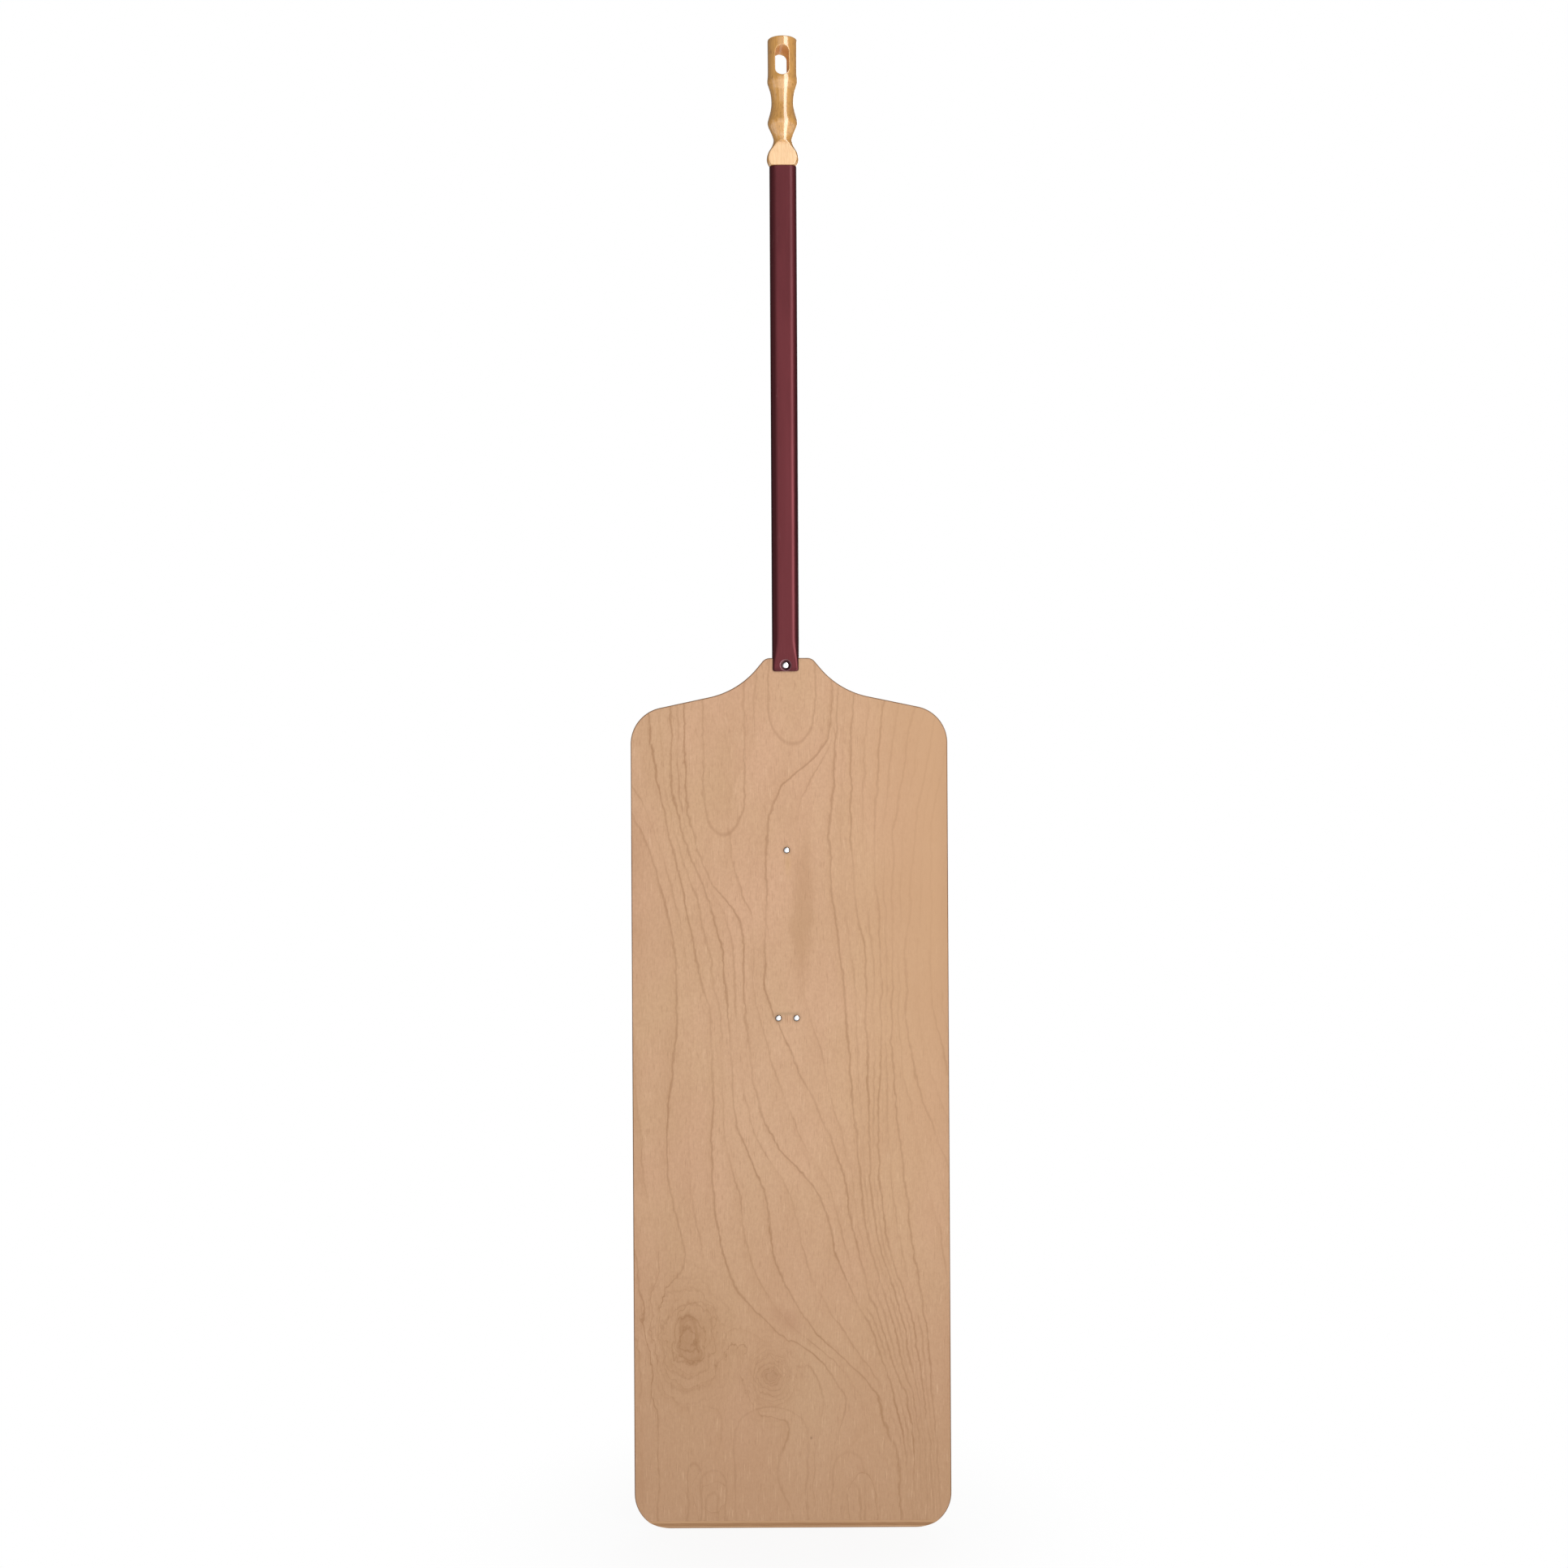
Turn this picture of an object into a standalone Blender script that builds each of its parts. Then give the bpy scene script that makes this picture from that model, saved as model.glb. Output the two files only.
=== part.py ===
"""Baker's peel: a long plywood blade on a flat-oval aluminium handle that ends in a turned wooden grip.

Run with: blender --background --python part.py

The peel hangs by the slot in its grip. Metres, +Z up along the handle, +X to the right across the blade, and -Y
towards whoever faces its loading face. The origin is where a peg bears, at the top of the hanging slot.
"""

import math

import bmesh
import bpy
from mathutils import Matrix, Vector

GAP = 0.0003  # between pieces that touch
BORE_CLEARANCE = 0.0002  # round a rivet's or a pin's shank
OVERCUT = 0.01  # how far a cutter runs past what it cuts

# Blade: one plywood board, thinned on its loading face at the tip
BLADE_WIDTH = 0.300
BLADE_LENGTH = 0.825  # from the top of the neck to the tip
BLADE_THICKNESS = 0.008
BLADE_SHIFT = 0.0028  # its centre line lies this far to the right of the handle's
NECK_WIDTH = 0.044
NECK_RADIUS = 0.009
THROAT_WIDTH = 0.096  # where the neck's flanks meet the shoulders
THROAT_DROP = 0.031  # below the top of the neck
THROAT_RADIUS = 0.080
SHOULDER_DROP = 0.0525
SHOULDER_RADIUS = 0.035
TIP_RADIUS = 0.034
ARRIS_RADIUS = 0.0015
TIP_BEVEL_LENGTH = 0.0085
TIP_BEVEL_DEPTH = 0.0045

# Handle: a flat-oval tube. Below the neck's top it is slit: a short lap in front, a long tongue behind
TUBE_WIDTH = 0.0256
TUBE_DEPTH = 0.014
TUBE_SIDE_FLAT = 0.0004  # between its round corners, front to back
TUBE_WALL = 0.0013
TUBE_LENGTH = 0.466  # from the grip to the top of the blade's neck
LAP_LENGTH = 0.0127
LAP_WIDTH = 0.0246
LAP_CORNER = 0.0022
LAP_RISE = 0.0007  # how far the lap's crown still stands up at its end
LAP_FLATTENING = 0.020  # length above the neck over which the front starts to flatten
TONGUE_FOOT = 0.0085  # from the last rivets to the tongue's end
PAD_WIDTH = 0.027  # the tongue's flattened end
PAD_CORNER = 0.007
PAD_LENGTH = 0.020
PAD_FLATTENING = 0.028
PRESSED_CORNER = 0.0018
DIMPLE_RADIUS = 0.0052
DIMPLE_FLOOR_RADIUS = 0.0034

# Rivets, from the top of the neck down
NECK_RIVET_DROP = 0.0070
MIDDLE_RIVET_DROP = 0.182
TIP_RIVET_DROP = 0.341
TIP_RIVET_SPACING = 0.0171
SHANK_RADIUS = 0.0016
HEAD_RADIUS = 0.0027
NECK_HEAD_RADIUS = 0.0030
HEAD_HEIGHT = 0.0013
TAIL_RADIUS = 0.0027
TAIL_HEIGHT = 0.0014
RECESS_DEPTH = 0.0008  # the heads on the blade's loading face sit this deep
RECESS_CLEARANCE = 0.0004

# Grip: turned wood, with a flat-oval tenon in the tube and a slot to hang it by
GRIP_END_ROUND = 0.0010
GRIP_PROFILE = (  # (distance below the grip's top, radius), through its crests and hollows
    (0.0000, 0.0140),
    (0.0270, 0.0139),
    (0.0345, 0.0140),
    (0.0400, 0.0144),
    (0.0440, 0.0133),
    (0.0500, 0.0115),
    (0.0580, 0.0106),
    (0.0640, 0.0109),
    (0.0700, 0.0121),
    (0.0750, 0.0135),
    (0.0785, 0.0143),
    (0.0815, 0.0138),
    (0.0860, 0.0118),
    (0.0910, 0.0097),
    (0.0955, 0.0088),
    (0.1010, 0.0104),
    (0.1070, 0.0139),
    (0.1125, 0.0153),
    (0.1165, 0.0147),
    (0.1200, 0.0127),
)
GRIP_LENGTH = GRIP_PROFILE[-1][0]
GRIP_FLATS = 0.0152  # across the two flats at the grip's base
FLATS_LENGTH = 0.0190  # from the grip's base to where their cutter starts to run out
RUN_OUT_RADIUS = 0.008
SLOT_LENGTH = 0.028
SLOT_WIDTH = 0.0128
SLOT_DROP = 0.0087  # from the grip's top to the slot
SLOT_TURN = math.radians(5)  # about the grip's axis, out of line with the flats
SLOT_SHIFT = -0.0012  # of its middle, across the grip
TENON_LENGTH = 0.035
PIN_DROP = 0.014  # below the tube's top
PIN_RADIUS = 0.0010
PIN_LENGTH = 0.0085
PIN_HEAD_RADIUS = 0.0021
PIN_HEAD_HEIGHT = 0.0009

ROUND_STEPS = 32  # round the grip
RIVET_STEPS = 20
OUTLINE_STEP = math.radians(4)
OVAL_STEP = math.radians(15)
CORNER_STEPS = 6  # in each corner of the tube's section
CROWN_STEPS = 8  # across its flat front and back
STATION_STEP = 0.0022  # between sections where the tube changes shape
TURNING_STEP = 0.0028  # between rings of the grip

# Heights that follow from those sizes
GRIP_TOP = SLOT_DROP
GRIP_BASE = GRIP_TOP - GRIP_LENGTH
TUBE_TOP = GRIP_BASE - GAP
NECK_TOP = GRIP_BASE - TUBE_LENGTH
SLIT_TOP = NECK_TOP + GAP
LAP_END = NECK_TOP - LAP_LENGTH
NECK_RIVET_Z = NECK_TOP - NECK_RIVET_DROP
MIDDLE_RIVET_Z = NECK_TOP - MIDDLE_RIVET_DROP
TIP_RIVET_Z = NECK_TOP - TIP_RIVET_DROP
TONGUE_END = TIP_RIVET_Z - TONGUE_FOOT
BLADE_TIP = NECK_TOP - BLADE_LENGTH

# Depths from the handle's middle plane, the same in front and behind
BLADE_FACE = BLADE_THICKNESS / 2
SEAT = BLADE_FACE + GAP  # the side of the lap and the tongue that lies on the blade
PRESSED = SEAT + TUBE_WALL  # their outer side where they are pressed flat
TUBE_FACE = TUBE_DEPTH / 2
TUBE_CORNER = TUBE_FACE - TUBE_SIDE_FLAT / 2

MATERIALS = {  # (colour, metallic, roughness)
    "plywood": ((0.62, 0.39, 0.24), 0.0, 0.55),
    "anodised_aluminium": ((0.16, 0.04, 0.05), 0.9, 0.35),
    "varnished_wood": ((0.75, 0.43, 0.14), 0.0, 0.2),
    "bare_aluminium": ((0.80, 0.80, 0.82), 1.0, 0.3),
    "bright_steel": ((0.70, 0.70, 0.72), 1.0, 0.3),
}


def clear_scene():
    for obj in list(bpy.data.objects):
        bpy.data.objects.remove(obj, do_unlink=True)


def material(name):
    found = bpy.data.materials.get(name)
    if found:
        return found
    colour, metallic, roughness = MATERIALS[name]
    made = bpy.data.materials.new(name)
    made.use_nodes = True
    shader = made.node_tree.nodes["Principled BSDF"]
    shader.inputs["Base Color"].default_value = (*colour, 1)
    shader.inputs["Metallic"].default_value = metallic
    shader.inputs["Roughness"].default_value = roughness
    return made


def object_from(name, mesh_maker, finish=None):
    """A mesh object whose bmesh mesh_maker fills. With no finish it is a cutter, which isn't part of the peel."""
    mesh = bpy.data.meshes.new(name)
    bm = bmesh.new()
    mesh_maker(bm)
    bmesh.ops.remove_doubles(bm, verts=bm.verts, dist=1e-7)
    bmesh.ops.recalc_face_normals(bm, faces=bm.faces)
    bm.to_mesh(mesh)
    bm.free()
    obj = bpy.data.objects.new(name, mesh)
    bpy.context.scene.collection.objects.link(obj)
    if finish:
        mesh.materials.append(material(finish))
        mesh.shade_smooth()
        mesh.set_sharp_from_angle(angle=math.radians(30))
    else:
        obj.hide_render = True
        obj.display_type = "WIRE"
    return obj


def boolean(obj, other, operation="DIFFERENCE"):
    """Cuts other from obj, or joins it to obj, with the exact solver."""
    modifier = obj.modifiers.new(other.name, "BOOLEAN")
    modifier.operation = operation
    modifier.object = other


def loft(bm, rings, closed=False):
    """Skins rings of equally many points. Their ends are capped, or joined to each other if closed."""
    verts = [[bm.verts.new(p) for p in ring] for ring in rings]
    count = len(rings[0])
    joined = zip(verts, verts[1:] + verts[:1] if closed else verts[1:])
    for one, two in joined:
        for i in range(count):
            j = (i + 1) % count
            bm.faces.new((one[i], one[j], two[j], two[i]))
    if not closed:
        bm.faces.new(verts[0])
        bm.faces.new(verts[-1])


def turn(bm, profile, steps, axis):
    """Spins profile, given as (radius, distance along axis), one full turn about axis, through the origin."""
    axis = Vector(axis)
    out = axis.orthogonal().normalized()
    verts = [bm.verts.new(out * r + axis * d) for r, d in profile]
    edges = [bm.edges.new(pair) for pair in zip(verts, verts[1:])]
    bmesh.ops.spin(
        bm, geom=verts + edges, cent=(0, 0, 0), axis=axis, angle=math.tau, steps=steps
    )


def arc(centre_x, centre_z, radius, start, end, steps):
    """Points along a circle, from the angle start to end."""
    angles = [start + (end - start) * i / steps for i in range(steps + 1)]
    return [
        (centre_x + radius * math.cos(a), centre_z + radius * math.sin(a))
        for a in angles
    ]


def rounded(corners, step):
    """The outline through corners of (x, z, radius), each rounded to its radius. It goes once round."""
    points = []
    for i, (x, z, radius) in enumerate(corners):
        here = Vector((x, z))
        before = (Vector(corners[i - 1][:2]) - here).normalized()
        after = (Vector(corners[(i + 1) % len(corners)][:2]) - here).normalized()
        half = before.angle(after) / 2
        centre = here + (before + after).normalized() * (radius / math.sin(half))
        first = here + before * (radius / math.tan(half)) - centre
        turned = first.angle_signed(here + after * (radius / math.tan(half)) - centre)
        begin = math.atan2(first.y, first.x)
        steps = max(2, round(abs(turned) / step))
        points += arc(centre.x, centre.y, radius, begin, begin - turned, steps)
    return points


def inset(points, distance):
    """The closed outline moved inwards by distance. The outline runs clockwise seen from the front."""
    moved = []
    for i, p in enumerate(points):
        along = Vector(points[(i + 1) % len(points)]) - Vector(points[i - 1])
        inward = Vector((along.y, -along.x)).normalized()
        moved.append(Vector(p) + inward * distance)
    return moved


# ---------------------------------------------------------------- blade


def blade_outline():
    """Clockwise from the neck's top right, about the blade's centre line, with z 0 at the top of the neck."""
    right = [
        (NECK_WIDTH / 2, 0, NECK_RADIUS),
        (THROAT_WIDTH / 2, -THROAT_DROP, THROAT_RADIUS),
        (BLADE_WIDTH / 2, -SHOULDER_DROP, SHOULDER_RADIUS),
        (BLADE_WIDTH / 2, -BLADE_LENGTH, TIP_RADIUS),
    ]
    left = [(-x, z, radius) for x, z, radius in reversed(right)]
    return rounded(right + left, OUTLINE_STEP)


def fill_blade(bm):
    """The outline at several depths, drawn in towards both faces so that its long edges are round."""
    outline = blade_outline()
    quarter = arc(-BLADE_FACE + ARRIS_RADIUS, ARRIS_RADIUS, ARRIS_RADIUS, math.pi, math.pi * 1.5, 3)
    levels = quarter + [(-y, drawn) for y, drawn in reversed(quarter)]
    loft(bm, [[(x, y, z) for x, z in inset(outline, drawn)] for y, drawn in levels])


def fill_tip_cutter(bm):
    """A wedge in front of the tip: its sloping side is the bevel."""
    run, fall = TIP_BEVEL_LENGTH, TIP_BEVEL_DEPTH
    low, high = -OVERCUT / run, (run + OVERCUT) / run
    side = [
        (-BLADE_FACE + fall * (1 - low), run * low),
        (-BLADE_FACE + fall * (1 - high), run * high),
        (-BLADE_FACE - 2 * OVERCUT, run * high),
        (-BLADE_FACE - 2 * OVERCUT, run * low),
    ]
    loft(bm, [[(x, y, z) for y, z in side] for x in (-BLADE_WIDTH, BLADE_WIDTH)])


def make_blade(rivet_bores):
    blade = object_from("blade", fill_blade, "plywood")
    blade.location = (BLADE_SHIFT, 0, NECK_TOP)
    tip_cutter = object_from("tip_cutter", fill_tip_cutter)
    tip_cutter.location = (BLADE_SHIFT, 0, BLADE_TIP)
    boolean(blade, tip_cutter)
    for bore in rivet_bores:
        boolean(blade, bore)


# ---------------------------------------------------------------- handle tube


def smooth(t):
    t = min(1.0, max(0.0, t))
    return t * t * (3 - 2 * t)


def blend(a, b, t):
    return a + (b - a) * t


def cornered(width, corner, from_end):
    """Half a width that rounds off to nothing over the last corner length before an end."""
    back = max(0.0, corner - from_end)
    return width / 2 - corner + math.sqrt(max(0.0, corner * corner - back * back))


def front_shape(z):
    """(half width, crown depth, corner radius) of the tube's front half at height z: it flattens into the lap."""
    flat = smooth((NECK_TOP + LAP_FLATTENING - z) / (LAP_FLATTENING + LAP_LENGTH))
    width = blend(TUBE_WIDTH, LAP_WIDTH, flat)
    half = cornered(width, LAP_CORNER, max(0.0, z - LAP_END))
    return (
        half,
        blend(TUBE_FACE, PRESSED + LAP_RISE, flat),
        blend(TUBE_CORNER, PRESSED_CORNER, flat),
    )


def back_shape(z):
    """The same for the back half, which stays a channel down to the flat pad at the tongue's end."""
    pad_top = TONGUE_END + PAD_LENGTH
    flat = smooth((pad_top + PAD_FLATTENING - z) / PAD_FLATTENING)
    width = blend(TUBE_WIDTH, PAD_WIDTH, flat)
    half = cornered(width, PAD_CORNER, max(0.0, z - TONGUE_END))
    return half, blend(TUBE_FACE, PRESSED, flat), blend(TUBE_CORNER, PRESSED_CORNER, flat)


def dimpled(depth, floor, x, z, dimples):
    """depth, brought down to floor round each rivet in dimples, which holds their heights."""
    for at in dimples:
        away = math.hypot(x, z - at)
        slope = (DIMPLE_RADIUS - away) / (DIMPLE_RADIUS - DIMPLE_FLOOR_RADIUS)
        depth = blend(depth, min(depth, floor), smooth(slope))
    return depth


def half_section(z, shape, dimples, inner):
    """(x, depth) from the right side over the crown to the left, for the tube's outer or inner surface."""
    wall = TUBE_WALL if inner else 0.0
    half, crown, corner = shape(z)
    half, crown = half - wall, crown - wall
    corner = max(corner - wall, PRESSED_CORNER / 4)
    floor = PRESSED - wall - GAP / 2 * inner
    flat = half - corner
    angles = [math.pi / 2 * i / CORNER_STEPS for i in range(CORNER_STEPS + 1)]
    side = [
        (flat + corner * math.cos(a), crown - corner + corner * math.sin(a))
        for a in angles
    ]
    top = [
        (flat * (1 - 2 * i / CROWN_STEPS), crown) for i in range(1, CROWN_STEPS)
    ]
    points = side + top + [(-x, depth) for x, depth in reversed(side)]
    return [(x, dimpled(depth, floor, x, z, dimples)) for x, depth in points]


def tube_ring(z, inner=False):
    front = half_section(z, front_shape, [NECK_RIVET_Z], inner)
    back = half_section(z, back_shape, [NECK_RIVET_Z, MIDDLE_RIVET_Z], inner)
    ring = [(x, -depth, z) for x, depth in front]
    return ring + [(x, depth, z) for x, depth in reversed(back)]


def stations():
    """Heights of the tube's sections: close together only where its shape changes."""
    spans = [  # (upper end, lower end, radius of the corners at the lower end)
        (NECK_TOP + LAP_FLATTENING, LAP_END, LAP_CORNER),
        (MIDDLE_RIVET_Z + DIMPLE_RADIUS, MIDDLE_RIVET_Z - DIMPLE_RADIUS, 0),
        (TONGUE_END + PAD_LENGTH + PAD_FLATTENING, TONGUE_END, PAD_CORNER),
    ]
    heights = [TUBE_TOP]
    for high, low, corner in spans:
        steps = math.ceil((high - low - corner) / STATION_STEP)
        heights += [blend(high, low + corner, i / steps) for i in range(steps + 1)]
        if corner:
            turned = [math.pi / 2 * i / CORNER_STEPS for i in range(1, CORNER_STEPS + 1)]
            heights += [low + corner * (1 - math.sin(a)) for a in turned]
    return heights


def fill_tube(bm):
    heights = stations()
    outer = [tube_ring(z) for z in heights]
    inner = [tube_ring(z, inner=True) for z in reversed(heights)]
    loft(bm, outer + inner, closed=True)


def fill_slit_cutter(bm):
    """Clears the blade's room between lap and tongue, and the front half below the lap."""
    low = TONGUE_END - OVERCUT
    front = -TUBE_DEPTH
    side = [
        (front, low),
        (SEAT, low),
        (SEAT, SLIT_TOP),
        (-SEAT, SLIT_TOP),
        (-SEAT, LAP_END),
        (front, LAP_END),
    ]
    reach = TUBE_WIDTH + PAD_WIDTH
    loft(bm, [[(x, y, z) for y, z in side] for x in (-reach, reach)])


def make_tube(rivet_bores, pin_bore):
    tube = object_from("handle_tube", fill_tube, "anodised_aluminium")
    boolean(tube, object_from("slit_cutter", fill_slit_cutter))
    for bore in [*rivet_bores, pin_bore]:
        boolean(tube, bore)


# ---------------------------------------------------------------- rivets


def dome(radius, height, steps=5):
    """(radius, height above the seat) of a rounded head, from its rim to its top."""
    return [
        (radius * math.cos(a), height * (0.25 + 0.75 * math.sin(a)))
        for a in (math.pi / 2 * i / steps for i in range(steps + 1))
    ]


def rivet_profile(seat, head_radius):
    """(radius, distance along +Y) of a rivet whose head seats at depth seat in front, and whose tail is formed
    on the tongue's flat outer side."""
    front, back = -(seat + GAP), PRESSED + GAP
    head = [(r, front - up) for r, up in reversed(dome(head_radius, HEAD_HEIGHT))]
    tail = [(r, back + up) for r, up in dome(TAIL_RADIUS, TAIL_HEIGHT)]
    return [
        *head,
        (head_radius, front),
        (SHANK_RADIUS, front),
        (SHANK_RADIUS, back),
        (TAIL_RADIUS, back),
        *tail,
    ]


def bore_profile(seat, head_radius):
    """The hole for a shank, and in the blade the recess for a head."""
    wide, narrow = head_radius + RECESS_CLEARANCE, SHANK_RADIUS + BORE_CLEARANCE
    front, back = -(TUBE_FACE + OVERCUT), TUBE_FACE + OVERCUT
    if seat >= BLADE_FACE:
        return [(0, front), (narrow, front), (narrow, back), (0, back)]
    return [
        (0, front),
        (wide, front),
        (wide, -seat),
        (narrow, -seat),
        (narrow, back),
        (0, back),
    ]


def make_rivet(name, x, z, seat, head_radius):
    """A rivet through the blade at x, z. Returns the cutter for its hole."""
    profile, cut = rivet_profile(seat, head_radius), bore_profile(seat, head_radius)
    rivet = object_from(
        name, lambda bm: turn(bm, profile, RIVET_STEPS, (0, 1, 0)), "bare_aluminium"
    )
    bore = object_from(
        name + "_bore", lambda bm: turn(bm, cut, RIVET_STEPS, (0, 1, 0))
    )
    rivet.location = bore.location = (x, 0, z)
    return bore


# ---------------------------------------------------------------- grip and its pin


def grip_radius(down):
    """The turned radius at a distance below the grip's top: a cubic through GRIP_PROFILE, level at its ends."""
    points = GRIP_PROFILE
    i = max(k for k in range(len(points) - 1) if points[k][0] <= down)

    def slope(k):
        if k in (0, 1, len(points) - 1):
            return 0.0 if k < 2 else (points[k][1] - points[k - 1][1]) / (
                points[k][0] - points[k - 1][0]
            )
        (d0, r0), (d1, r1) = points[k - 1], points[k + 1]
        return (r1 - r0) / (d1 - d0)

    (d0, r0), (d1, r1) = points[i], points[i + 1]
    run = d1 - d0
    t = (down - d0) / run
    rest = 1 - t
    return (
        (1 + 2 * t) * rest * rest * r0
        + t * rest * rest * run * slope(i)
        + t * t * (3 - 2 * t) * r1
        - t * t * rest * run * slope(i + 1)
    )


def grip_profile():
    """(radius, height) from the middle of the grip's top, down its side, to the middle of its base."""
    end = GRIP_PROFILE[0][1] - GRIP_END_ROUND
    rim = [
        (end + r, GRIP_TOP - GRIP_END_ROUND + up)
        for r, up in reversed(arc(0, 0, GRIP_END_ROUND, 0, math.pi / 2, 3))
    ]
    turned_from = GRIP_PROFILE[1][0]
    steps = math.ceil((GRIP_LENGTH - turned_from) / TURNING_STEP)
    downs = [blend(turned_from, GRIP_LENGTH, i / steps) for i in range(steps + 1)]
    side = [(grip_radius(down), GRIP_TOP - down) for down in downs]
    return [(0, GRIP_TOP), *rim, *side, (0, GRIP_BASE)]


def oval(width, depth, corner):
    """(x, y) round a flat-oval section."""
    x, y = width / 2, depth / 2
    corners = [(x, y, corner), (x, -y, corner), (-x, -y, corner), (-x, y, corner)]
    return rounded(corners, OVAL_STEP)


def fill_tenon(bm):
    """The tongue of wood inside the tube, and a little way up into the turned part."""
    less = 2 * (TUBE_WALL + GAP)
    section = oval(TUBE_WIDTH - less, TUBE_DEPTH - less, TUBE_CORNER - less / 2)
    heights = (GRIP_BASE + FLATS_LENGTH / 4, GRIP_BASE - TENON_LENGTH)
    loft(bm, [[(x, y, z) for x, y in section] for z in heights])


def fill_flats_cutter(bm):
    """Two slabs that leave GRIP_FLATS between them, and curve outwards at their upper ends."""
    reach = max(radius for _, radius in GRIP_PROFILE)
    near, high = GRIP_FLATS / 2, GRIP_BASE + FLATS_LENGTH
    run_out = arc(near + RUN_OUT_RADIUS, high, RUN_OUT_RADIUS, math.pi, math.pi / 2, 8)
    side = [(near, GRIP_BASE - OVERCUT), *run_out, (near + reach, GRIP_BASE - OVERCUT)]
    for sign in (-1, 1):
        loft(bm, [[(x, sign * y, z) for y, z in side] for x in (-reach, reach)])


def fill_slot_cutter(bm):
    """A slot with round ends, its top at the origin."""
    x, low = SLOT_WIDTH / 2, -SLOT_LENGTH
    end = SLOT_WIDTH / 2 * 0.999
    corners = [(x, 0, end), (x, low, end), (-x, low, end), (-x, 0, end)]
    outline = rounded(corners, OUTLINE_STEP * 2)
    reach = GRIP_LENGTH / 4
    loft(bm, [[(px, y, pz) for px, pz in outline] for y in (-reach, reach)])


def pin_profile():
    """(radius, distance along +Y) of the pin: its point in the tenon, its head on the tube's back."""
    seat = TUBE_FACE + GAP
    head = [(r, seat + up) for r, up in dome(PIN_HEAD_RADIUS, PIN_HEAD_HEIGHT, 4)]
    return [
        (0, seat - PIN_LENGTH),
        (PIN_RADIUS, seat - PIN_LENGTH + 2 * PIN_RADIUS),
        (PIN_RADIUS, seat),
        (PIN_HEAD_RADIUS, seat),
        *head,
    ]


def pin_bore_profile():
    wide = PIN_RADIUS + BORE_CLEARANCE
    deep = TUBE_FACE - PIN_LENGTH
    return [(0, deep), (wide, deep), (wide, TUBE_FACE + OVERCUT), (0, TUBE_FACE + OVERCUT)]


def make_pin():
    """The pin that holds the grip in the tube. Returns the cutter for its hole."""
    pin = object_from(
        "grip_pin",
        lambda bm: turn(bm, pin_profile(), RIVET_STEPS // 2, (0, 1, 0)),
        "bright_steel",
    )
    bore = object_from(
        "grip_pin_bore",
        lambda bm: turn(bm, pin_bore_profile(), RIVET_STEPS // 2, (0, 1, 0)),
    )
    pin.location = bore.location = (0, 0, TUBE_TOP - PIN_DROP)
    return bore


def make_grip(pin_bore):
    grip = object_from(
        "grip",
        lambda bm: turn(bm, grip_profile(), ROUND_STEPS, (0, 0, 1)),
        "varnished_wood",
    )
    boolean(grip, object_from("flats_cutter", fill_flats_cutter))
    slot_cutter = object_from("slot_cutter", fill_slot_cutter)
    slot_cutter.location = (SLOT_SHIFT, 0, 0)
    slot_cutter.rotation_euler = (0, 0, SLOT_TURN)
    boolean(grip, slot_cutter)
    boolean(grip, object_from("tenon", fill_tenon), "UNION")
    boolean(grip, pin_bore)


def main():
    clear_scene()
    apart = TIP_RIVET_SPACING / 2
    sunk = BLADE_FACE - RECESS_DEPTH
    bores = [
        make_rivet("neck_rivet", 0, NECK_RIVET_Z, PRESSED, NECK_HEAD_RADIUS),
        make_rivet("middle_rivet", 0, MIDDLE_RIVET_Z, sunk, HEAD_RADIUS),
        make_rivet("tip_rivet_left", -apart, TIP_RIVET_Z, sunk, HEAD_RADIUS),
        make_rivet("tip_rivet_right", apart, TIP_RIVET_Z, sunk, HEAD_RADIUS),
    ]
    pin_bore = make_pin()
    make_blade(bores)
    make_tube(bores, pin_bore)
    make_grip(pin_bore)


main()
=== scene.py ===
"""The looks of a long baker's peel: plywood blade, anodised aluminium handle and turned wooden grip.

Metres, +Z up along the handle, -Y out of the blade's loading face, the origin at the top of the hanging slot.
"""

import math

import bmesh
import bpy
from mathutils import Matrix, Vector


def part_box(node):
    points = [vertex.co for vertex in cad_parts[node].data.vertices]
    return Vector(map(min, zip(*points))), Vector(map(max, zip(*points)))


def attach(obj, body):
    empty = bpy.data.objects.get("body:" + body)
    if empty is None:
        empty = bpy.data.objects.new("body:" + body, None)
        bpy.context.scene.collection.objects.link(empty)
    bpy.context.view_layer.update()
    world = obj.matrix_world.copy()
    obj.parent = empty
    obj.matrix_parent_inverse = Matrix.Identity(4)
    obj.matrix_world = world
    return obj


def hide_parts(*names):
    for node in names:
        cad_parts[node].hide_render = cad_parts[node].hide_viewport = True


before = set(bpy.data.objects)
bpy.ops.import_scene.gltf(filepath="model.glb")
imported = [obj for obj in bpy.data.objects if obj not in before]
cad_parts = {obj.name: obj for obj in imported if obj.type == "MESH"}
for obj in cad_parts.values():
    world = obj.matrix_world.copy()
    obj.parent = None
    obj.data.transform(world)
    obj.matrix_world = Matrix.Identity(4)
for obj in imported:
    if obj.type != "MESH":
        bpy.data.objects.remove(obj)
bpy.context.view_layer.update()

GAP = 0.0003  # that the CAD leaves between touching pieces

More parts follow.
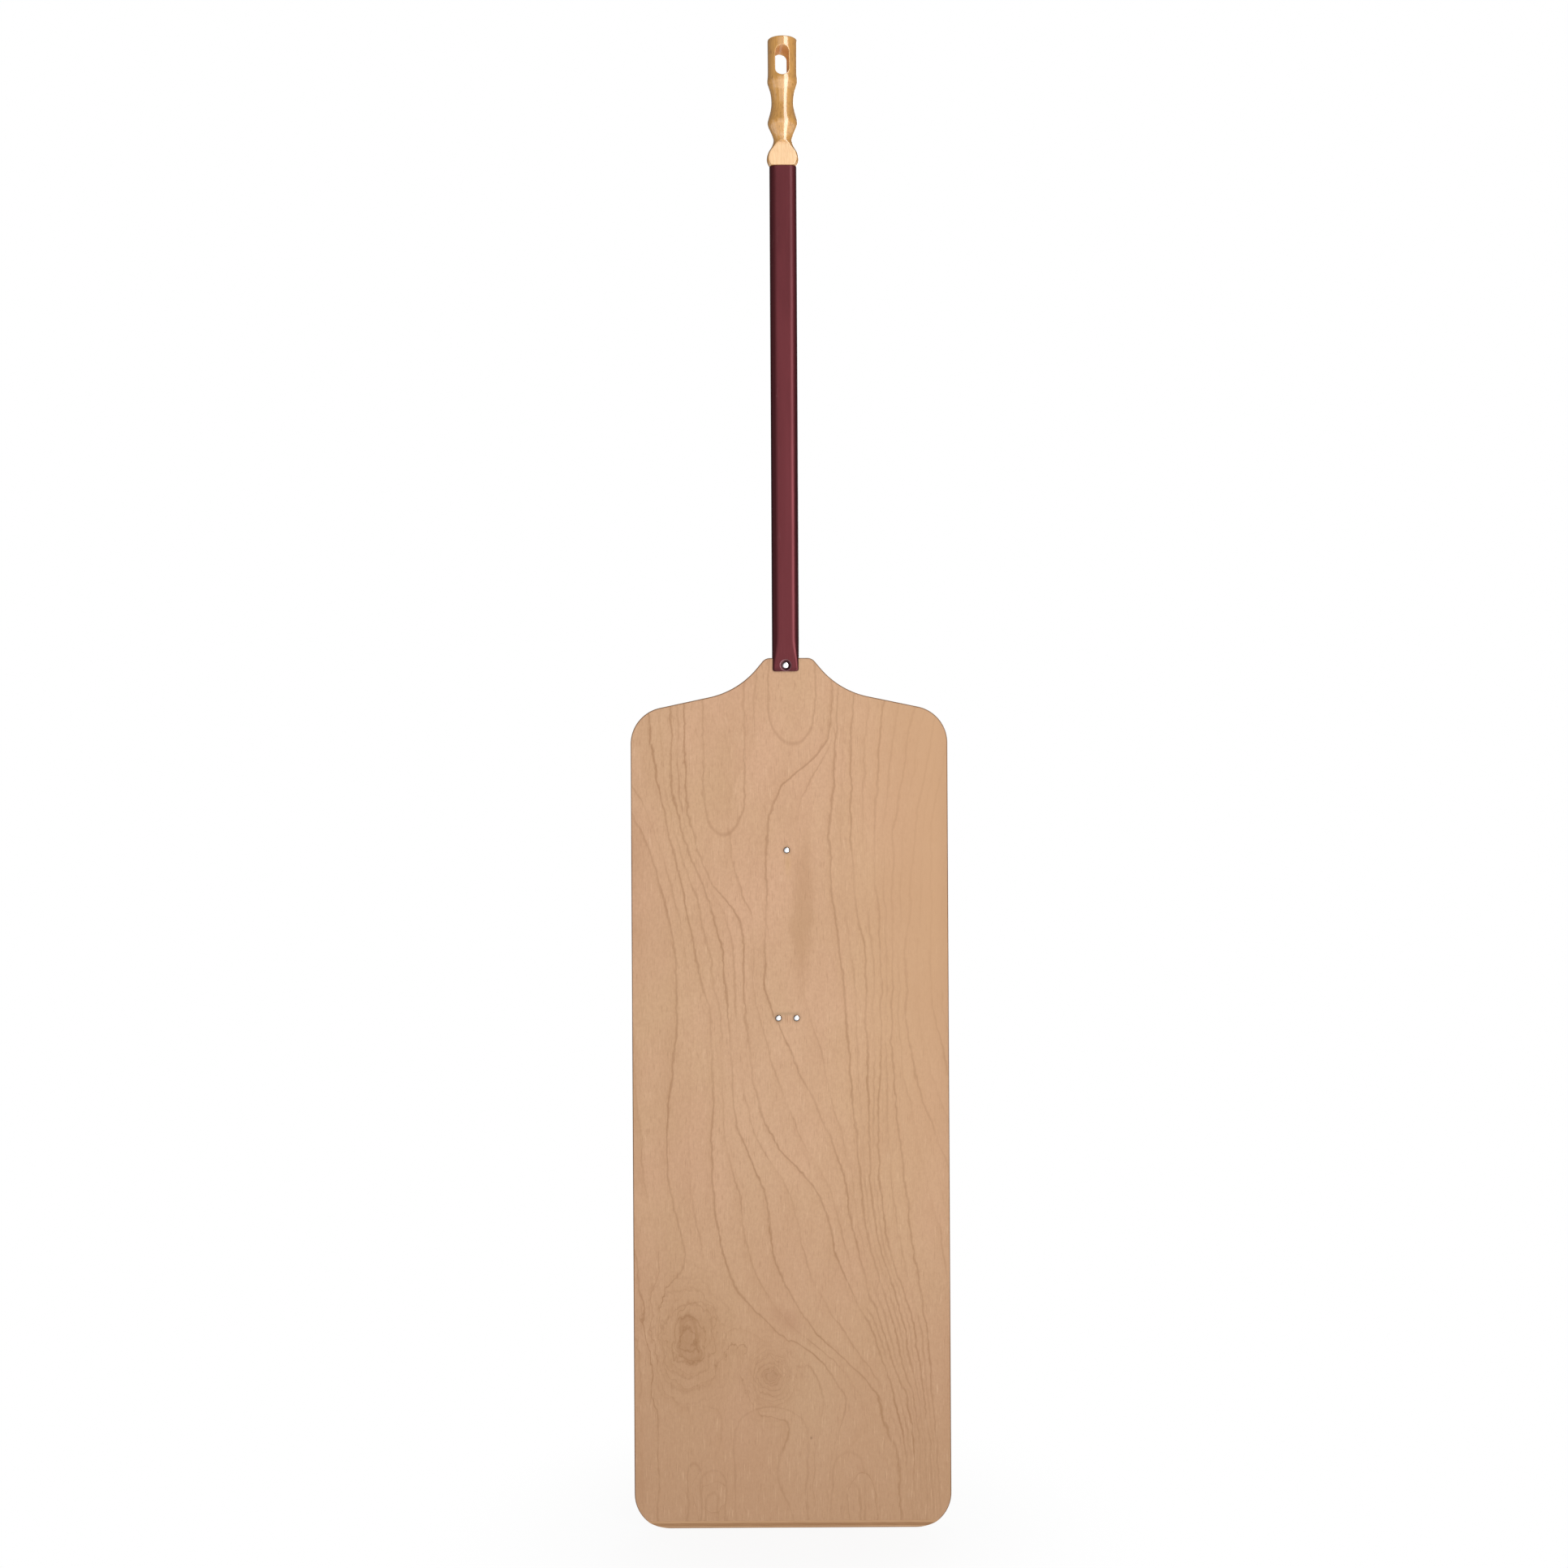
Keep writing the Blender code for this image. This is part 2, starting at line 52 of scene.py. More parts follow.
# Sizes that the boxes of the CAD's nodes don't give
NECK_WIDTH, NECK_RADIUS = 0.044, 0.009
THROAT_WIDTH, THROAT_DROP, THROAT_RADIUS = 0.096, 0.031, 0.080
SHOULDER_DROP, SHOULDER_RADIUS, TIP_RADIUS = 0.0525, 0.035, 0.034
ARRIS_RADIUS = 0.0015
TIP_BEVEL_LENGTH, TIP_BEVEL_DEPTH = 0.0085, 0.0045
RECESS_DEPTH, RECESS_CLEARANCE = 0.0008, 0.0004
TUBE_WIDTH, TUBE_WALL, TUBE_SIDE_FLAT = 0.0256, 0.0013, 0.0004
LAP_LENGTH, LAP_WIDTH, LAP_CORNER, LAP_RISE = 0.0127, 0.0246, 0.0022, 0.0007
LAP_FLATTENING = 0.020
PAD_CORNER, PAD_LENGTH, PAD_FLATTENING = 0.007, 0.020, 0.028
PRESSED_CORNER = 0.0018
DIMPLE_RADIUS, DIMPLE_FLOOR_RADIUS, HOLLOW_RADIUS = 0.0052, 0.0034, 0.0040
SHANK_RADIUS, HEAD_HEIGHT, TAIL_RADIUS = 0.0016, 0.0013, 0.0027
PIN_RADIUS, PIN_POINT = 0.0010, 0.002
SLOT_LENGTH, SLOT_WIDTH, SLOT_SHIFT, SLOT_TURN = 0.028, 0.0128, -0.0012, math.radians(5)
GRIP_FLATS, FLATS_LENGTH, RUN_OUT_RADIUS, GRIP_END_ROUND = 0.0152, 0.0190, 0.008, 0.001
GRIP_PROFILE = (  # (distance below the grip's top, radius)
    (0.0000, 0.0140), (0.0270, 0.0139), (0.0345, 0.0140), (0.0400, 0.0144), (0.0440, 0.0133),
    (0.0500, 0.0115), (0.0580, 0.0106), (0.0640, 0.0109), (0.0700, 0.0121), (0.0750, 0.0135),
    (0.0785, 0.0143), (0.0815, 0.0138), (0.0860, 0.0118), (0.0910, 0.0097), (0.0955, 0.0088),
    (0.1010, 0.0104), (0.1070, 0.0139), (0.1125, 0.0153), (0.1165, 0.0147), (0.1200, 0.0127),
)

# Places, from the boxes
BLADE_LOW, BLADE_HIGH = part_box("blade")
TUBE_LOW, TUBE_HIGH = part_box("handle_tube")
GRIP_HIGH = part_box("grip")[1]
BLADE_X = (BLADE_LOW.x + BLADE_HIGH.x) / 2
BLADE_WIDTH = BLADE_HIGH.x - BLADE_LOW.x
BLADE_LENGTH = BLADE_HIGH.z - BLADE_LOW.z
BLADE_FACE = BLADE_HIGH.y
NECK_TOP = BLADE_HIGH.z
TUBE_FACE = TUBE_HIGH.y
TUBE_TOP = TUBE_HIGH.z
TONGUE_END = TUBE_LOW.z
PAD_WIDTH = TUBE_HIGH.x - TUBE_LOW.x
SEAT = BLADE_FACE + GAP
PRESSED = SEAT + TUBE_WALL
LAP_END = NECK_TOP - LAP_LENGTH
GRIP_TOP = GRIP_HIGH.z
GRIP_LENGTH = GRIP_PROFILE[-1][0]
GRIP_BASE = GRIP_TOP - GRIP_LENGTH

# Fineness of the meshes
OVERCUT = 0.01  # how far a cutter runs past what it cuts
OUTLINE_TURN = math.radians(1.5)  # of one facet of the blade's corners
ARRIS_STEPS, BORE_STEPS = 7, 64
CORNER_STEPS, CROWN_STEPS, END_STEPS = 14, 26, 10  # of the tube's section, and down its rounded ends
TUBE_STEPS, PRESSED_STEP = 12, 0.0007  # down its plain part, and its pressed parts
GRIP_STEPS, GRIP_STEP, RIM_STEPS, RUN_OUT_STEPS = 160, 0.0006, 5, 20
SLOT_TURN_STEP = math.radians(3)
VOXEL, SMOOTHINGS = 0.00034, 9
RIVET_STEPS, HEAD_STEPS, TAIL_STEPS, PIN_STEPS = 72, 14, 12, 56


def middle(node):
    """The middle of a CAD node's box."""
    low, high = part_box(node)
    return (low + high) / 2


NECK_RIVET_Z = middle("neck_rivet").z
MIDDLE_RIVET_Z = middle("middle_rivet").z
TIP_RIVET_Z = middle("tip_rivet_left").z
TIP_RIVET_X = middle("tip_rivet_right").x


# ---------------------------------------------------------------- mesh helpers


def smooth(t):
    """Eases from 0 to 1."""
    t = min(1.0, max(0.0, t))
    return t * t * (3 - 2 * t)


def blend(a, b, t):
    """a where t is 0, b where it is 1."""
    return a + (b - a) * t


def loft(bm, rings, closed=False):
    """Skins rings of equally many points, and joins the last ring to the first or else caps both."""
    verts = [[bm.verts.new(p) for p in ring] for ring in rings]
    count = len(rings[0])
    for one, two in zip(verts, verts[1:] + verts[:1] if closed else verts[1:]):
        for i in range(count):
            j = (i + 1) % count
            bm.faces.new((one[i], one[j], two[j], two[i]))
    if not closed:
        bm.faces.new(verts[0])
        bm.faces.new(verts[-1])


def turn(bm, profile, steps, axis):
    """Spins (radius, distance along the axis) points into a solid."""
    axis = Vector(axis)
    out = axis.orthogonal().normalized()
    verts = [bm.verts.new(out * r + axis * d) for r, d in profile]
    edges = [bm.edges.new(pair) for pair in zip(verts, verts[1:])]
    bmesh.ops.spin(bm, geom=verts + edges, cent=(0, 0, 0), axis=axis, angle=math.tau, steps=steps)


def turn_across(bm, profile, steps, at):
    """Spins (radius, y) points about the line through a place from front to back."""
    turn(bm, profile, steps, (0, 1, 0))
    bmesh.ops.translate(bm, verts=bm.verts, vec=(at.x, 0, at.z))


def arc(cx, cz, radius, start, end, steps):
    """Points of an arc."""
    angles = [start + (end - start) * i / steps for i in range(steps + 1)]
    return [(cx + radius * math.cos(a), cz + radius * math.sin(a)) for a in angles]


def rounded(corners, step):
    """The outline with these (x, z, radius) corners, each an arc whose facets turn by about step."""
    points = []
    for i, (x, z, radius) in enumerate(corners):
        here = Vector((x, z))
        before = (Vector(corners[i - 1][:2]) - here).normalized()
        after = (Vector(corners[(i + 1) % len(corners)][:2]) - here).normalized()
        half = before.angle(after) / 2
        centre = here + (before + after).normalized() * (radius / math.sin(half))
        first = here + before * (radius / math.tan(half)) - centre
        turned = first.angle_signed(here + after * (radius / math.tan(half)) - centre)
        begin = math.atan2(first.y, first.x)
        steps = max(2, round(abs(turned) / step))
        points += arc(centre.x, centre.y, radius, begin, begin - turned, steps)
    return points


def inset(points, distance):
    """A closed outline's points, moved inwards."""
    moved = []
    for i, p in enumerate(points):
        along = Vector(points[(i + 1) % len(points)]) - Vector(points[i - 1])
        moved.append(Vector(p) + Vector((along.y, -along.x)).normalized() * distance)
    return moved


def piece(name, fill, modify=()):
    """A mesh object that fill makes, with its modifiers applied."""
    mesh = bpy.data.meshes.new(name)
    bm = bmesh.new()
    fill(bm)
    bmesh.ops.remove_doubles(bm, verts=bm.verts, dist=1e-7)
    bmesh.ops.recalc_face_normals(bm, faces=bm.faces)
    bm.to_mesh(mesh)
    bm.free()
    obj = bpy.data.objects.new(name, mesh)
    bpy.context.scene.collection.objects.link(obj)
    for settings in modify:
        settings = dict(settings)
        modifier = obj.modifiers.new("step", settings.pop("type"))
        for key, value in settings.items():
            setattr(modifier, key, value)
    if modify:
        graph = bpy.context.evaluated_depsgraph_get()
        made = bpy.data.meshes.new_from_object(obj.evaluated_get(graph))
        obj.modifiers.clear()
        obj.data = made
    return obj


def cut(cutter):
    """The settings of a modifier that cuts."""
    return {"type": "BOOLEAN", "operation": "DIFFERENCE", "object": cutter, "solver": "EXACT"}


def soften(obj, degrees):
    """Shades a mesh smooth, apart from edges sharper than this."""
    obj.data.shade_smooth()
    obj.data.set_sharp_from_angle(angle=math.radians(degrees))


def drop(*objects):
    for obj in objects:
        bpy.data.objects.remove(obj, do_unlink=True)


def place(obj, node, material):
    """Gives a piece its material, its body and the CAD node that it stands for."""
    obj.data.materials.clear()
    obj.data.materials.append(material)
    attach(obj, "root")
    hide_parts(node)
    return obj


# ---------------------------------------------------------------- shader helpers


class Value:
    """A number socket that can be added, multiplied and so on, each time with a Math node."""

    def __init__(self, graph, socket):
        self.graph, self.socket = graph, socket

    def __add__(self, other):
        return self.graph.math("ADD", self, other)

    __radd__ = __add__

    def __sub__(self, other):
        return self.graph.math("SUBTRACT", self, other)

    def __rsub__(self, other):
        return self.graph.math("SUBTRACT", other, self)

    def __mul__(self, other):
        return self.graph.math("MULTIPLY", self, other)

    __rmul__ = __mul__

    def __rtruediv__(self, other):
        return self.graph.math("DIVIDE", other, self)

    def __truediv__(self, other):
        return self.graph.math("DIVIDE", self, other)

    def __neg__(self):
        return self.graph.math("MULTIPLY", self, -1)

    def power(self, exponent):
        return self.graph.math("POWER", self, exponent)

    def root(self):
        return self.graph.math("SQRT", self)

    def fraction(self):
        return self.graph.math("FRACT", self)

    def size(self):
        return self.graph.math("ABSOLUTE", self)

    def least(self, other):
        return self.graph.math("MINIMUM", self, other)

    def most(self, other):
        return self.graph.math("MAXIMUM", self, other)

    def step(self, low, high, to_low=0.0, to_high=1.0):
        """Rises smoothly from to_low to to_high as this goes from low to high."""
        node = self.graph.node("ShaderNodeMapRange", interpolation_type="SMOOTHSTEP")
        for key, value in (
            ("Value", self), ("From Min", low), ("From Max", high), ("To Min", to_low), ("To Max", to_high)
        ):
            self.graph.feed(node.inputs[key], value)
        return Value(self.graph, node.outputs["Result"])

    def ramp(self, low, high):
        """Rises evenly from 0 to 1 as this goes from low to high."""
        node = self.graph.node("ShaderNodeMapRange")
        for key, value in (("Value", self), ("From Min", low), ("From Max", high)):
            self.graph.feed(node.inputs[key], value)
        return Value(self.graph, node.outputs["Result"])

    def fall(self):
        """exp(-self), for a self that is at least 0."""
        return self.graph.math("POWER", math.e, -self)


class Graph:
    """A material's nodes."""

    def __init__(self, name):
        self.material = bpy.data.materials.new(name)
        self.material.use_nodes = True
        self.tree = self.material.node_tree
        self.shader = self.tree.nodes["Principled BSDF"]
        self.place = self.node("ShaderNodeTexCoord").outputs["Object"]
        split = self.node("ShaderNodeSeparateXYZ")
        self.feed(split.inputs[0], self.place)
        self.x, self.y, self.z = (Value(self, split.outputs[i]) for i in range(3))

    def edge_on(self):
        """0 where the surface faces the eye, 1 where it is seen edge on."""
        return Value(self, self.node("ShaderNodeLayerWeight").outputs["Facing"])

    def node(self, kind, **settings):
        made = self.tree.nodes.new(kind)
        for key, value in settings.items():
            setattr(made, key, value)
        return made

    def feed(self, socket, value):
        if isinstance(value, Value):
            value = value.socket
        if isinstance(value, bpy.types.NodeSocket):
            self.tree.links.new(value, socket)
        else:
            socket.default_value = value

    def math(self, operation, a, b=None):
        node = self.node("ShaderNodeMath", operation=operation)
        self.feed(node.inputs[0], a)
        if b is not None:
            self.feed(node.inputs[1], b)
        return Value(self, node.outputs[0])

    def vector(self, x, y, z):
        node = self.node("ShaderNodeCombineXYZ")
        for socket, value in zip(node.inputs, (x, y, z)):
            self.feed(socket, value)
        return node.outputs[0]

    def noise(self, where, detail=2.0, roughness=0.5, scale=1.0):
        """Noise from about 0 to 1 at a vector, with scale blotches to its unit."""
        node = self.node("ShaderNodeTexNoise")
        for key, value in (
            ("Vector", where), ("Scale", scale), ("Detail", detail), ("Roughness", roughness)
        ):
            self.feed(node.inputs[key], value)
        return Value(self, node.outputs["Fac"])

    def grain(self, x, y, z, **settings):
        """Noise at three coordinates, whose unit is one blotch."""
        return self.noise(self.vector(x, y, z), **settings)

    def mix(self, share, one, two):
        """one where share is 0, two where it is 1. one and two are colours or colour sockets."""
        node = self.node("ShaderNodeMix", data_type="RGBA")
        self.feed(node.inputs[0], share)
        for socket, colour in ((node.inputs[6], one), (node.inputs[7], two)):
            self.feed(socket, (*colour, 1) if isinstance(colour, tuple) else colour)
        return node.outputs[2]

    def bump(self, height, distance, strength):
        node = self.node("ShaderNodeBump")
        self.feed(node.inputs["Height"], height)
        node.inputs["Distance"].default_value = distance
        node.inputs["Strength"].default_value = strength
        return node.outputs["Normal"]

    def finish(self, **sockets):
        """Feeds the shader's sockets, named with _ for each space."""
        for key, value in sockets.items():
            self.feed(self.shader.inputs[key.replace("_", " ")], value)
        return self.material


def srgb(r, g, b):
    """A colour given as it looks on a screen, 0 to 255, in linear light."""
    return tuple(((c / 255 + 0.055) / 1.055) ** 2.4 for c in (r, g, b))


# ---------------------------------------------------------------- materials


# The blade's figure. A place on its veneer is (u, w): across from the blade's middle, and up from the top of
# the neck. The guides are grain lines that the others are spaced between, listed left to right, each as
# (distance below the top of the neck, u)
GRAIN_GUIDES = (
    ((0, -0.33), (0.12, -0.29), (0.28, -0.22), (0.45, -0.17), (0.58, -0.146), (0.67, -0.127),
     (0.82, -0.128)),
    ((0, -0.22), (0.10, -0.19), (0.15, -0.147), (0.20, -0.128), (0.26, -0.111), (0.33, -0.106),
     (0.44, -0.117), (0.53, -0.108), (0.58, -0.089), (0.63, -0.073), (0.66, -0.003), (0.69, 0.010),
     (0.77, -0.012), (0.82, 0.008)),
    ((0, -0.138), (0.075, -0.131), (0.17, -0.112), (0.28, -0.088), (0.37, -0.074), (0.47, -0.075),
     (0.57, -0.061), (0.62, -0.033), (0.66, 0.022), (0.70, 0.051), (0.76, 0.088), (0.82, 0.097)),
    ((0, -0.113), (0.10, -0.112), (0.19, -0.093), (0.25, -0.070), (0.35, -0.058), (0.44, -0.053),
     (0.50, -0.027), (0.58, -0.013), (0.64, 0.026), (0.70, 0.082), (0.77, 0.103), (0.82, 0.106)),
    ((0, -0.100), (0.12, -0.098), (0.21, -0.076), (0.25, -0.046), (0.35, -0.042), (0.45, -0.020),
     (0.51, 0.027), (0.57, 0.043), (0.64, 0.076), (0.73, 0.103), (0.82, 0.111)),
    ((0, 0.042), (0.075, 0.037), (0.13, -0.011), (0.20, -0.022), (0.30, -0.024), (0.38, 0.004),
     (0.47, 0.044), (0.55, 0.060), (0.65, 0.089), (0.71, 0.110), (0.82, 0.117)),
    ((0, 0.046), (0.09, 0.044), (0.17, 0.037), (0.30, 0.049), (0.41, 0.059), (0.53, 0.069),
     (0.64, 0.097), (0.71, 0.116), (0.82, 0.122)),
    ((0, 0.067), (0.12, 0.058), (0.20, 0.060), (0.28, 0.070), (0.41, 0.073), (0.52, 0.077),
     (0.63, 0.104), (0.72, 0.122), (0.82, 0.127)),
    ((0, 0.101), (0.08, 0.084), (0.17, 0.081), (0.26, 0.084), (0.35, 0.086), (0.46, 0.082),
     (0.56, 0.094), (0.63, 0.114), (0.73, 0.128), (0.82, 0.133)),
    ((0, 0.130), (0.09, 0.111), (0.18, 0.098), (0.28, 0.097), (0.37, 0.096), (0.47, 0.105),
     (0.58, 0.119), (0.68, 0.133), (0.82, 0.138)),
    ((0, 0.151), (0.09, 0.132), (0.19, 0.116), (0.31, 0.110), (0.41, 0.122), (0.48, 0.147),
     (0.58, 0.173), (0.82, 0.218)),
    ((0, 0.176), (0.09, 0.147), (0.17, 0.134), (0.28, 0.133), (0.39, 0.147), (0.47, 0.178),
     (0.82, 0.260)),
)
GUIDE_SPAN = 0.8  # across which a guide can run
LEFT_SPACING, RIGHT_SPACING = 0.03, 0.02  # of the lines outside the outermost guides
LINE_WIDTH = 0.0012
HEART, EYE, CROWN = (-0.098, -0.642), (-0.0205, -0.680), (-0.076, -0.795)  # knots
FLAT_FOOT_U = 0.062
# Flat-cut rings, as (u of the middle, w where the round end starts, half width, length of the round end)
LEFT_TONGUE, MIDDLE_TONGUE = (-0.062, -0.130, 0.0200, 0.037), (0.0035, -0.045, 0.0215, 0.036)
FOOT_ARCHES = (
    (-0.094, -0.774, 0.0065, 0.012), (-0.076, -0.782, 0.0115, 0.013), (-0.077, -0.800, 0.0060, 0.010),
    (-0.020, -0.735, 0.0340, 0.026), (0.052, -0.776, 0.0160, 0.024), (0.055, -0.796, 0.0085, 0.014),
)
PLY = 0.0016


def knot(u, w, at, wide, tall):
    """How far (u, w) is from a knot's middle, in the knot's own half width and half height, squared."""
    a, b = (u - at[0]) / wide, (w - at[1]) / tall
    return a * a + b * b


class Sheet(Graph):
    """The blade's material, which also knows a point's place on the veneer and what bends its grain."""

    def __init__(self, name):
        super().__init__(name)
        self.back = self.y.step(-0.0001, 0.0001)  # another sheet, turned end for end, without knots
        side = 1 - self.back * 2
        self.u = (self.x - BLADE_X) * side
        self.w = (self.z - NECK_TOP) * side - self.back * BLADE_LENGTH
        self.no_knot = self.back * 60
        self.sway = self.blotches(16, 11, detail=2.0) - 0.5
        self.waver = self.blotches(55, 34, detail=3.0, roughness=0.6) - 0.5
        self.jitter = self.blotches(190, 120, detail=2.0, roughness=0.6) - 0.5
        self.across = self.u + self.sway * 0.009 + self.waver * 0.0080 + self.jitter * 0.0032
        self.cloud = self.blotches(24, 10, (0, 5.0), detail=4.0, roughness=0.6).step(0.30, 0.72)
        self.patchy = self.blotches(16, 7, (0, 3.1), detail=2.0).step(0.28, 0.62)
        self.patchy_fine = self.blotches(28, 11, (0, 9.7), detail=2.0).step(0.38, 0.66)
        heart = knot(self.u + self.waver * 0.034, self.w + self.sway * 0.030, HEART, 0.030, 0.046)
        self.heart = heart + self.no_knot
        eye_u = self.u + self.waver * 0.026 + self.jitter * 0.006
        self.eye = knot(eye_u, self.w + self.waver * 0.016, EYE, 0.020, 0.024) + self.no_knot

    def blotches(self, across, along, shift=(0, 0), **settings):
        """Noise on the veneer, with so many blotches to a metre each way."""
        return self.grain(self.u * across + shift[0], 0, self.w * along + shift[1], **settings)


def guide(g, down, points):
    """Where a guide runs across the blade, down from the top of its neck."""
    node = g.node("ShaderNodeFloatCurve")
    curve = node.mapping.curves[0]
    for at, across in points[1:-1]:
        curve.points.new(at / BLADE_LENGTH, across / GUIDE_SPAN + 0.5)
    for point, (at, across) in ((curve.points[0], points[0]), (curve.points[-1], points[-1])):
        point.location = (at / BLADE_LENGTH, across / GUIDE_SPAN + 0.5)
    for point in curve.points:
        point.handle_type = "AUTO_CLAMPED"
    node.mapping.update()
    g.feed(node.inputs["Value"], down / BLADE_LENGTH)
    return (Value(g, node.outputs[0]) - 0.5) * GUIDE_SPAN


def grain_field(g):
    """A field whose whole numbers are the guides, bent by the knots and the flat-cut foot, and how fast it
    grows across the blade before it is bent."""
    runs = [guide(g, -g.w, points) for points in GRAIN_GUIDES]
    field = (g.across - runs[0]).least(0) / LEFT_SPACING + (g.across - runs[-1]).most(0) / RIGHT_SPACING
    slope = 1 / LEFT_SPACING
    for left, right in zip(runs, runs[1:]):
        share = g.across.ramp(left, right)
        inside = (share - 0.5).size().ramp(0.5, 0.4999)
        field = field + share
        slope = slope + inside * (1 / (right - left) - 1 / LEFT_SPACING)
    flat_foot = ((g.u - FLAT_FOOT_U + g.waver * 0.01) / 0.030).power(2).fall() * g.w.ramp(-0.700, -0.790)
    crown = knot(g.u + g.waver * 0.02, g.w, CROWN, 0.016, 0.022)
    field = field + flat_foot * 1.6
    return field + g.heart.fall() * 2.2 + g.eye.fall() * 2.4 + crown.fall() * 0.9, slope


def contour(level, slope, wide):
    """1 on the lines where level is a whole number."""
    gap = 0.5 - (level.fraction() - 0.5).size()
    return (gap / (slope * (LINE_WIDTH * wide))).ramp(1.0, 0.15)


def tongue(g, at_u, end_w, wide, tall, rises=1):
    """A flat-cut ring's line and the patch inside it: straight up the blade from a round end, or down it
    where rises is -1."""
    a, b = (g.across - at_u) / wide, ((g.w - end_w) * rises).least(0) / tall
    radius = (a * a + b * b).root()
    line = ((radius - 1).size() / (LINE_WIDTH * 1.3 / wide)).ramp(1.0, 0.15)
    return line, radius.step(1.1, 0.9)


def grain_lines(g):
    """Strengths of the rings' lines, of the fainter lines between them, and of the shading beside them."""
    field, slope = grain_field(g)
    open_grain = slope.step(260, 110)
    crowded = 1 - slope.step(80, 240) * 0.72
    rings = contour(field, slope, 1.25) * (0.25 + g.patchy * 0.75) * crowded
    between = contour(field * 2 + 0.02, slope, 2.4) * g.patchy_fine * open_grain
    left_line, left_patch = tongue(g, *LEFT_TONGUE)
    middle_line, middle_patch = tongue(g, *MIDDLE_TONGUE)
    outside = 1 - left_patch.most(middle_patch)
    rings = (rings * outside).most(left_line * (0.5 + g.patchy * 0.4)).most(middle_line * 0.75)
    for arch in FOOT_ARCHES:
        line, _ = tongue(g, *arch, rises=-1)
        rings = rings.most(line * (0.25 + g.patchy_fine * 0.5) * (1 - g.back))
    shade = (field * 2).fraction().power(4.0) * open_grain * g.patchy
    return rings, between * outside, shade


def figure(g):
    """The veneer's soft patches of colour, a painted shade that darkens it towards the foot, and the grain
    lines over them.
    """
    warmth = g.blotches(9, 5.5, (2.7, 0), detail=3.0, roughness=0.55).step(0.30, 0.70)
    colour = g.mix(warmth, srgb(208, 166, 135), srgb(204, 166, 131))
    pale_belt = knot(g.u + g.sway * 0.05, g.w + g.u * 0.4, (-0.030, -0.45), 0.055, 0.16)
    colour = g.mix(pale_belt.fall() * 0.40, colour, srgb(207, 172, 138))
    # painted shade: the veneer is darkened towards the foot, where less light falls
    colour = g.mix(g.w.step(-0.42, -0.86) * 0.85, colour, srgb(185, 146, 114))
    foot_u = g.u + g.sway * 0.05 + g.waver * 0.03
    pale_foot = knot(foot_u, g.w + g.u * 0.3, (0.020, -0.70), 0.034, 0.085)
    colour = g.mix(pale_foot.fall() * 0.30, colour, srgb(200, 167, 134))
    colour = g.mix(g.cloud * 0.30, colour, srgb(186, 146, 112))
    rings, between, shade = grain_lines(g)
    colour = g.mix(shade * 0.20, colour, srgb(172, 130, 94))
    colour = g.mix(between * 0.31, colour, srgb(150, 108, 72))
    return g.mix(rings * 0.38, colour, srgb(144, 102, 66))


def add_knots(g, colour):
    """The knots' dark hearts and the rings round them."""
    core_u = g.u + g.waver * 0.034 + g.jitter * 0.004
    core = knot(core_u, g.w + g.sway * 0.03, HEART, 0.0085, 0.024) + g.no_knot
    colour = g.mix((g.heart * 0.8).fall() * (0.12 + g.cloud * 0.18), colour, srgb(160, 119, 78))
    heart_rings = ((g.heart.root() * 3.6 + g.sway * 1.5 + g.jitter).fraction() - 0.5).size().step(0.32, 0.5)
    colour = g.mix(heart_rings * (g.heart * 0.7).fall() * 0.34, colour, srgb(140, 98, 62))
    outline = (core - 1).size().step(0.55, 0.05)
    colour = g.mix((core.power(2) * 0.6).fall() * 0.16 + outline * 0.20, colour, srgb(140, 96, 58))
    colour = g.mix((g.eye * 9.0).fall() * 0.25, colour, srgb(150, 108, 76))
    colour = g.mix((g.eye * 0.9).fall() * 0.16, colour, srgb(160, 120, 86))
    eye_rings = ((g.eye.root() * 5.0 + g.waver * 2).fraction() - 0.5).size().step(0.30, 0.5)
    return g.mix(eye_rings * (g.eye * 0.7).fall() * 0.34, colour, srgb(150, 108, 76))


def add_stains_and_shade(g, colour):
    """A speck, a smudge and a streak, a right side darkened partly by painted shade, and dirt along the
    edges.
    """
    speck = knot(g.u, g.w, (0.0175, -0.7385), 0.0009, 0.0013)
    colour = g.mix(speck.fall() * 0.55, colour, srgb(104, 66, 42))
    smudge = g.no_knot + knot(g.across, g.w + g.u * 0.5, (-0.0030, -0.628), 0.016, 0.010)
    colour = g.mix(smudge.fall() * 0.26, colour, srgb(160, 112, 84))
    streak_u = g.u + g.waver * 0.012 - g.w * 0.03
    streak = g.no_knot + knot(streak_u, g.w, (0.0195, -0.240), 0.0110, 0.066)
    colour = g.mix(streak.power(2).fall() * (0.34 + g.patchy_fine * 0.18), colour, srgb(166, 126, 88))
    # the right side is darker: partly the veneer's own tone, partly painted shade that cancels the strip
    # light's sheen there
    right_side_tone_and_shade = g.u.step(0.02, 0.15) * g.w.step(-0.65, -0.2)
    colour = g.mix(right_side_tone_and_shade * 0.85, colour, srgb(194, 153, 116))
    half = BLADE_WIDTH / 2
    edges = (g.u + half).step(0.020, 0.0) * g.cloud + (g.u - half).step(-0.014, 0.0) * 0.6
    return g.mix(edges * 0.22, colour, srgb(170, 126, 92))


